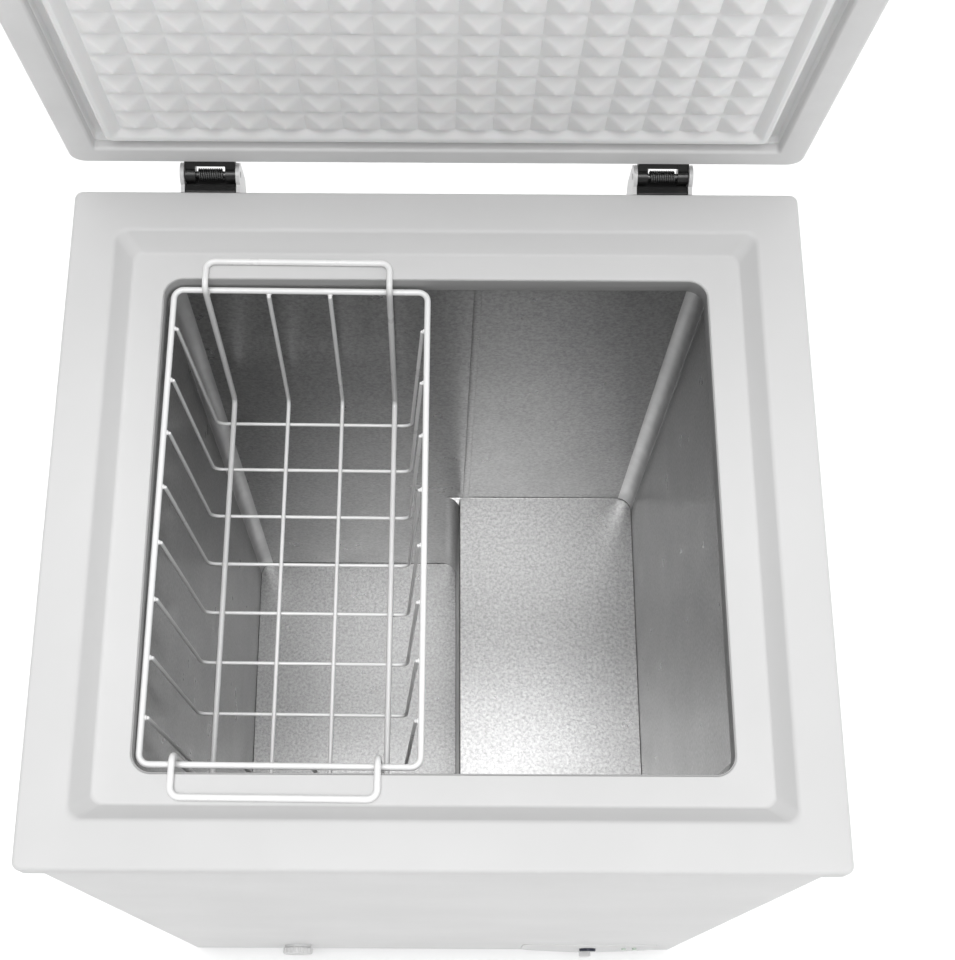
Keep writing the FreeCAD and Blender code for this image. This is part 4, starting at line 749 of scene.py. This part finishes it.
# --- wire basket ------------------------------------------------------------------------
BASKET_X, BASKET_Y = (-203.8, -7.6), (-184.0, 186.0)
BASKET_RIM_Z, WIRE_TOP_Z = TOP - 25.0, TOP - 27.0
FLOOR_Z = TOP - 208.0
FLOOR_X, FLOOR_Y = (-193.5, -22.0), (-172.0, 174.0)
RIM_WIRE, CROSS_WIRE, THIN_WIRE, HANGER_WIRE = 2.4, 1.5, 1.75, 2.4
CROSS_Y = [153.0 - 43.4 * k for k in range(8)]
HANGER_LEGS, THIN_LEGS = (-178.5, -37.0), (-130.8, -83.3)
HANGER_Y, HANGER_Z = (-208.5, 204.0), TOP - 12.3
BASKET_PLACE = (Matrix.Translation((-105.7, 1.0, 0)) @ Matrix.Rotation(math.radians(-0.4), 4, "Z")
                @ Matrix.Translation((105.7, -1.0, 0)))


def basket_piece(shape, name, node):
    shape.turned(BASKET_PLACE).piece(name, "coated_wire", "basket", [node], sharp=60)


def make_basket():
    (x0, x1), (y0, y1) = BASKET_X, BASKET_Y
    rim = Shape()
    corners = [(x0, y0), (x1, y0), (x1, y1), (x0, y1)]
    rim.tube(bent([(x, y, BASKET_RIM_Z) for x, y in corners], 7.5, True, 8), RIM_WIRE, 18, True)
    basket_piece(rim, "basket_rim_wire", "basket_rim")

    cross = Shape()
    inward = RIM_WIRE + CROSS_WIRE
    for y in CROSS_Y:
        cross.tube(bent([(x0 + inward, y, WIRE_TOP_Z), (FLOOR_X[0], y, FLOOR_Z),
                         (FLOOR_X[1], y, FLOOR_Z), (x1 - inward, y, WIRE_TOP_Z)], 8.0),
                   CROSS_WIRE, 12)
        for x in (x0 + RIM_WIRE, x1 - RIM_WIRE):
            cross.blob((x, y, BASKET_RIM_Z - 0.8), (1.4, 2.1, 1.5))
        for x in HANGER_LEGS + THIN_LEGS:
            cross.blob((x, y, FLOOR_Z + CROSS_WIRE), (1.7, 1.7, 1.0))
    basket_piece(cross, "basket_cross_ribs", "basket_cross_wires")

    thin = Shape()
    inward = RIM_WIRE + THIN_WIRE
    floor = FLOOR_Z + CROSS_WIRE + THIN_WIRE
    for x in THIN_LEGS:
        thin.tube(bent([(x, y0 + 0.4, BASKET_RIM_Z - 1.9), (x, FLOOR_Y[0], floor),
                        (x, FLOOR_Y[1], floor), (x, y1 - inward, WIRE_TOP_Z)], 8.0),
                  THIN_WIRE, 12)
        thin.blob((x, y1 - RIM_WIRE, BASKET_RIM_Z - 1.6), (2.2, 1.0, 1.2))
    basket_piece(thin, "basket_long_ribs", "basket_long_wires")

    hanger = Shape()
    inward = RIM_WIRE + HANGER_WIRE
    floor = FLOOR_Z + CROSS_WIRE + HANGER_WIRE
    left, right = HANGER_LEGS
    front, back = y0 + inward, y1 - inward
    route = [(left, FLOOR_Y[1], floor), (left, back, HANGER_Z), (left, HANGER_Y[1], HANGER_Z),
             (right, HANGER_Y[1], HANGER_Z), (right, back, HANGER_Z), (right, FLOOR_Y[1], floor),
             (right, FLOOR_Y[0], floor), (right, front, HANGER_Z), (right, HANGER_Y[0], HANGER_Z),
             (left, HANGER_Y[0], HANGER_Z), (left, front, HANGER_Z), (left, FLOOR_Y[0], floor)]
    hanger.tube(bent(route, 7.0, True, 8), HANGER_WIRE, 18, True)
    for x in HANGER_LEGS:
        for y in (y0 + RIM_WIRE, y1 - RIM_WIRE):
            hanger.blob((x, y, BASKET_RIM_Z - 1.2), (2.6, 1.2, 1.4))
    basket_piece(hanger, "basket_hanger_loop", "basket_hanger")


make_frame()
make_strip()
make_liner()
make_lid_cover()
make_gasket()
make_lid_liner()
make_basket()


# --- stage, camera and light ------------------------------------------------------------
def area_light(name, place, target, size, power):
    light = bpy.data.lights.new(name, "AREA")
    light.shape = "RECTANGLE"
    light.size, light.size_y = size
    light.energy = power
    obj = bpy.data.objects.new(name, light)
    obj.location = place
    heading = Vector(target) - Vector(place)
    obj.rotation_euler = heading.to_track_quat("-Z", "Y").to_euler()
    bpy.context.scene.collection.objects.link(obj)


def sun_light(name, direction, strength, spread_deg):
    """Broad soft light from one side, the same over the whole floor."""
    light = bpy.data.lights.new(name, "SUN")
    light.energy = strength
    light.angle = math.radians(spread_deg)
    obj = bpy.data.objects.new(name, light)
    obj.rotation_euler = Vector(direction).to_track_quat("Z", "Y").to_euler()
    bpy.context.scene.collection.objects.link(obj)


def make_stage():
    size = 14.0
    mesh = bpy.data.meshes.new("studio_floor")
    corners = [(-size, -size, 0), (size, -size, 0), (size, size, 0), (-size, size, 0)]
    mesh.from_pydata(corners, [], [(0, 1, 2, 3)])
    floor = bpy.data.objects.new("studio_floor", mesh)
    bpy.context.scene.collection.objects.link(floor)
    n = Nodes("studio_floor")
    n.set(Base_Color=(0.94, 0.94, 0.94, 1), Roughness=0.9)
    mesh.materials.append(n.material)


CAMERA_Y, CAMERA_ABOVE = -0.3764, 1.0112                   # metres, above the frame's top
LOOKING_DOWN, CAMERA_YAW, CAMERA_ROLL = 70.89, -0.16, 0.45  # degrees


def make_camera():
    """Standing in front and above, looking steeply down into the open freezer."""
    camera = bpy.data.cameras.new("camera")
    camera.sensor_fit = "VERTICAL"
    camera.sensor_height = 36.0
    camera.lens = 56.29
    camera.shift_x, camera.shift_y = 0.0432, 0.0625
    obj = bpy.data.objects.new("camera", camera)
    obj.location = (0.0, CAMERA_Y, RIM_TOP + CAMERA_ABOVE)
    down, yaw, roll = (math.radians(a) for a in (90 - LOOKING_DOWN, CAMERA_YAW, CAMERA_ROLL))
    turn = (Matrix.Rotation(yaw, 4, "Z") @ Matrix.Rotation(down, 4, "X")
            @ Matrix.Rotation(roll, 4, "Z"))
    obj.rotation_euler = turn.to_euler()
    bpy.context.scene.collection.objects.link(obj)
    bpy.context.scene.camera = obj


def make_world():
    world = bpy.data.worlds.new("studio")
    world.use_nodes = True
    world.node_tree.nodes["Background"].inputs["Color"].default_value = (1, 1, 1, 1)
    world.node_tree.nodes["Background"].inputs["Strength"].default_value = 0.38
    bpy.context.scene.world = world


make_stage()
make_camera()
make_world()
sun_light("key_light", (0.00, -0.34, 1.0), 1.28, 40)
sun_light("top_light", (-0.04, 0.05, 1.0), 1.48, 40)
area_light("side_light", (1.9, -1.6, 1.3), (0, 0, 0.6), (1.2, 1.2), 9)
bpy.context.scene.view_settings.view_transform = "Standard"
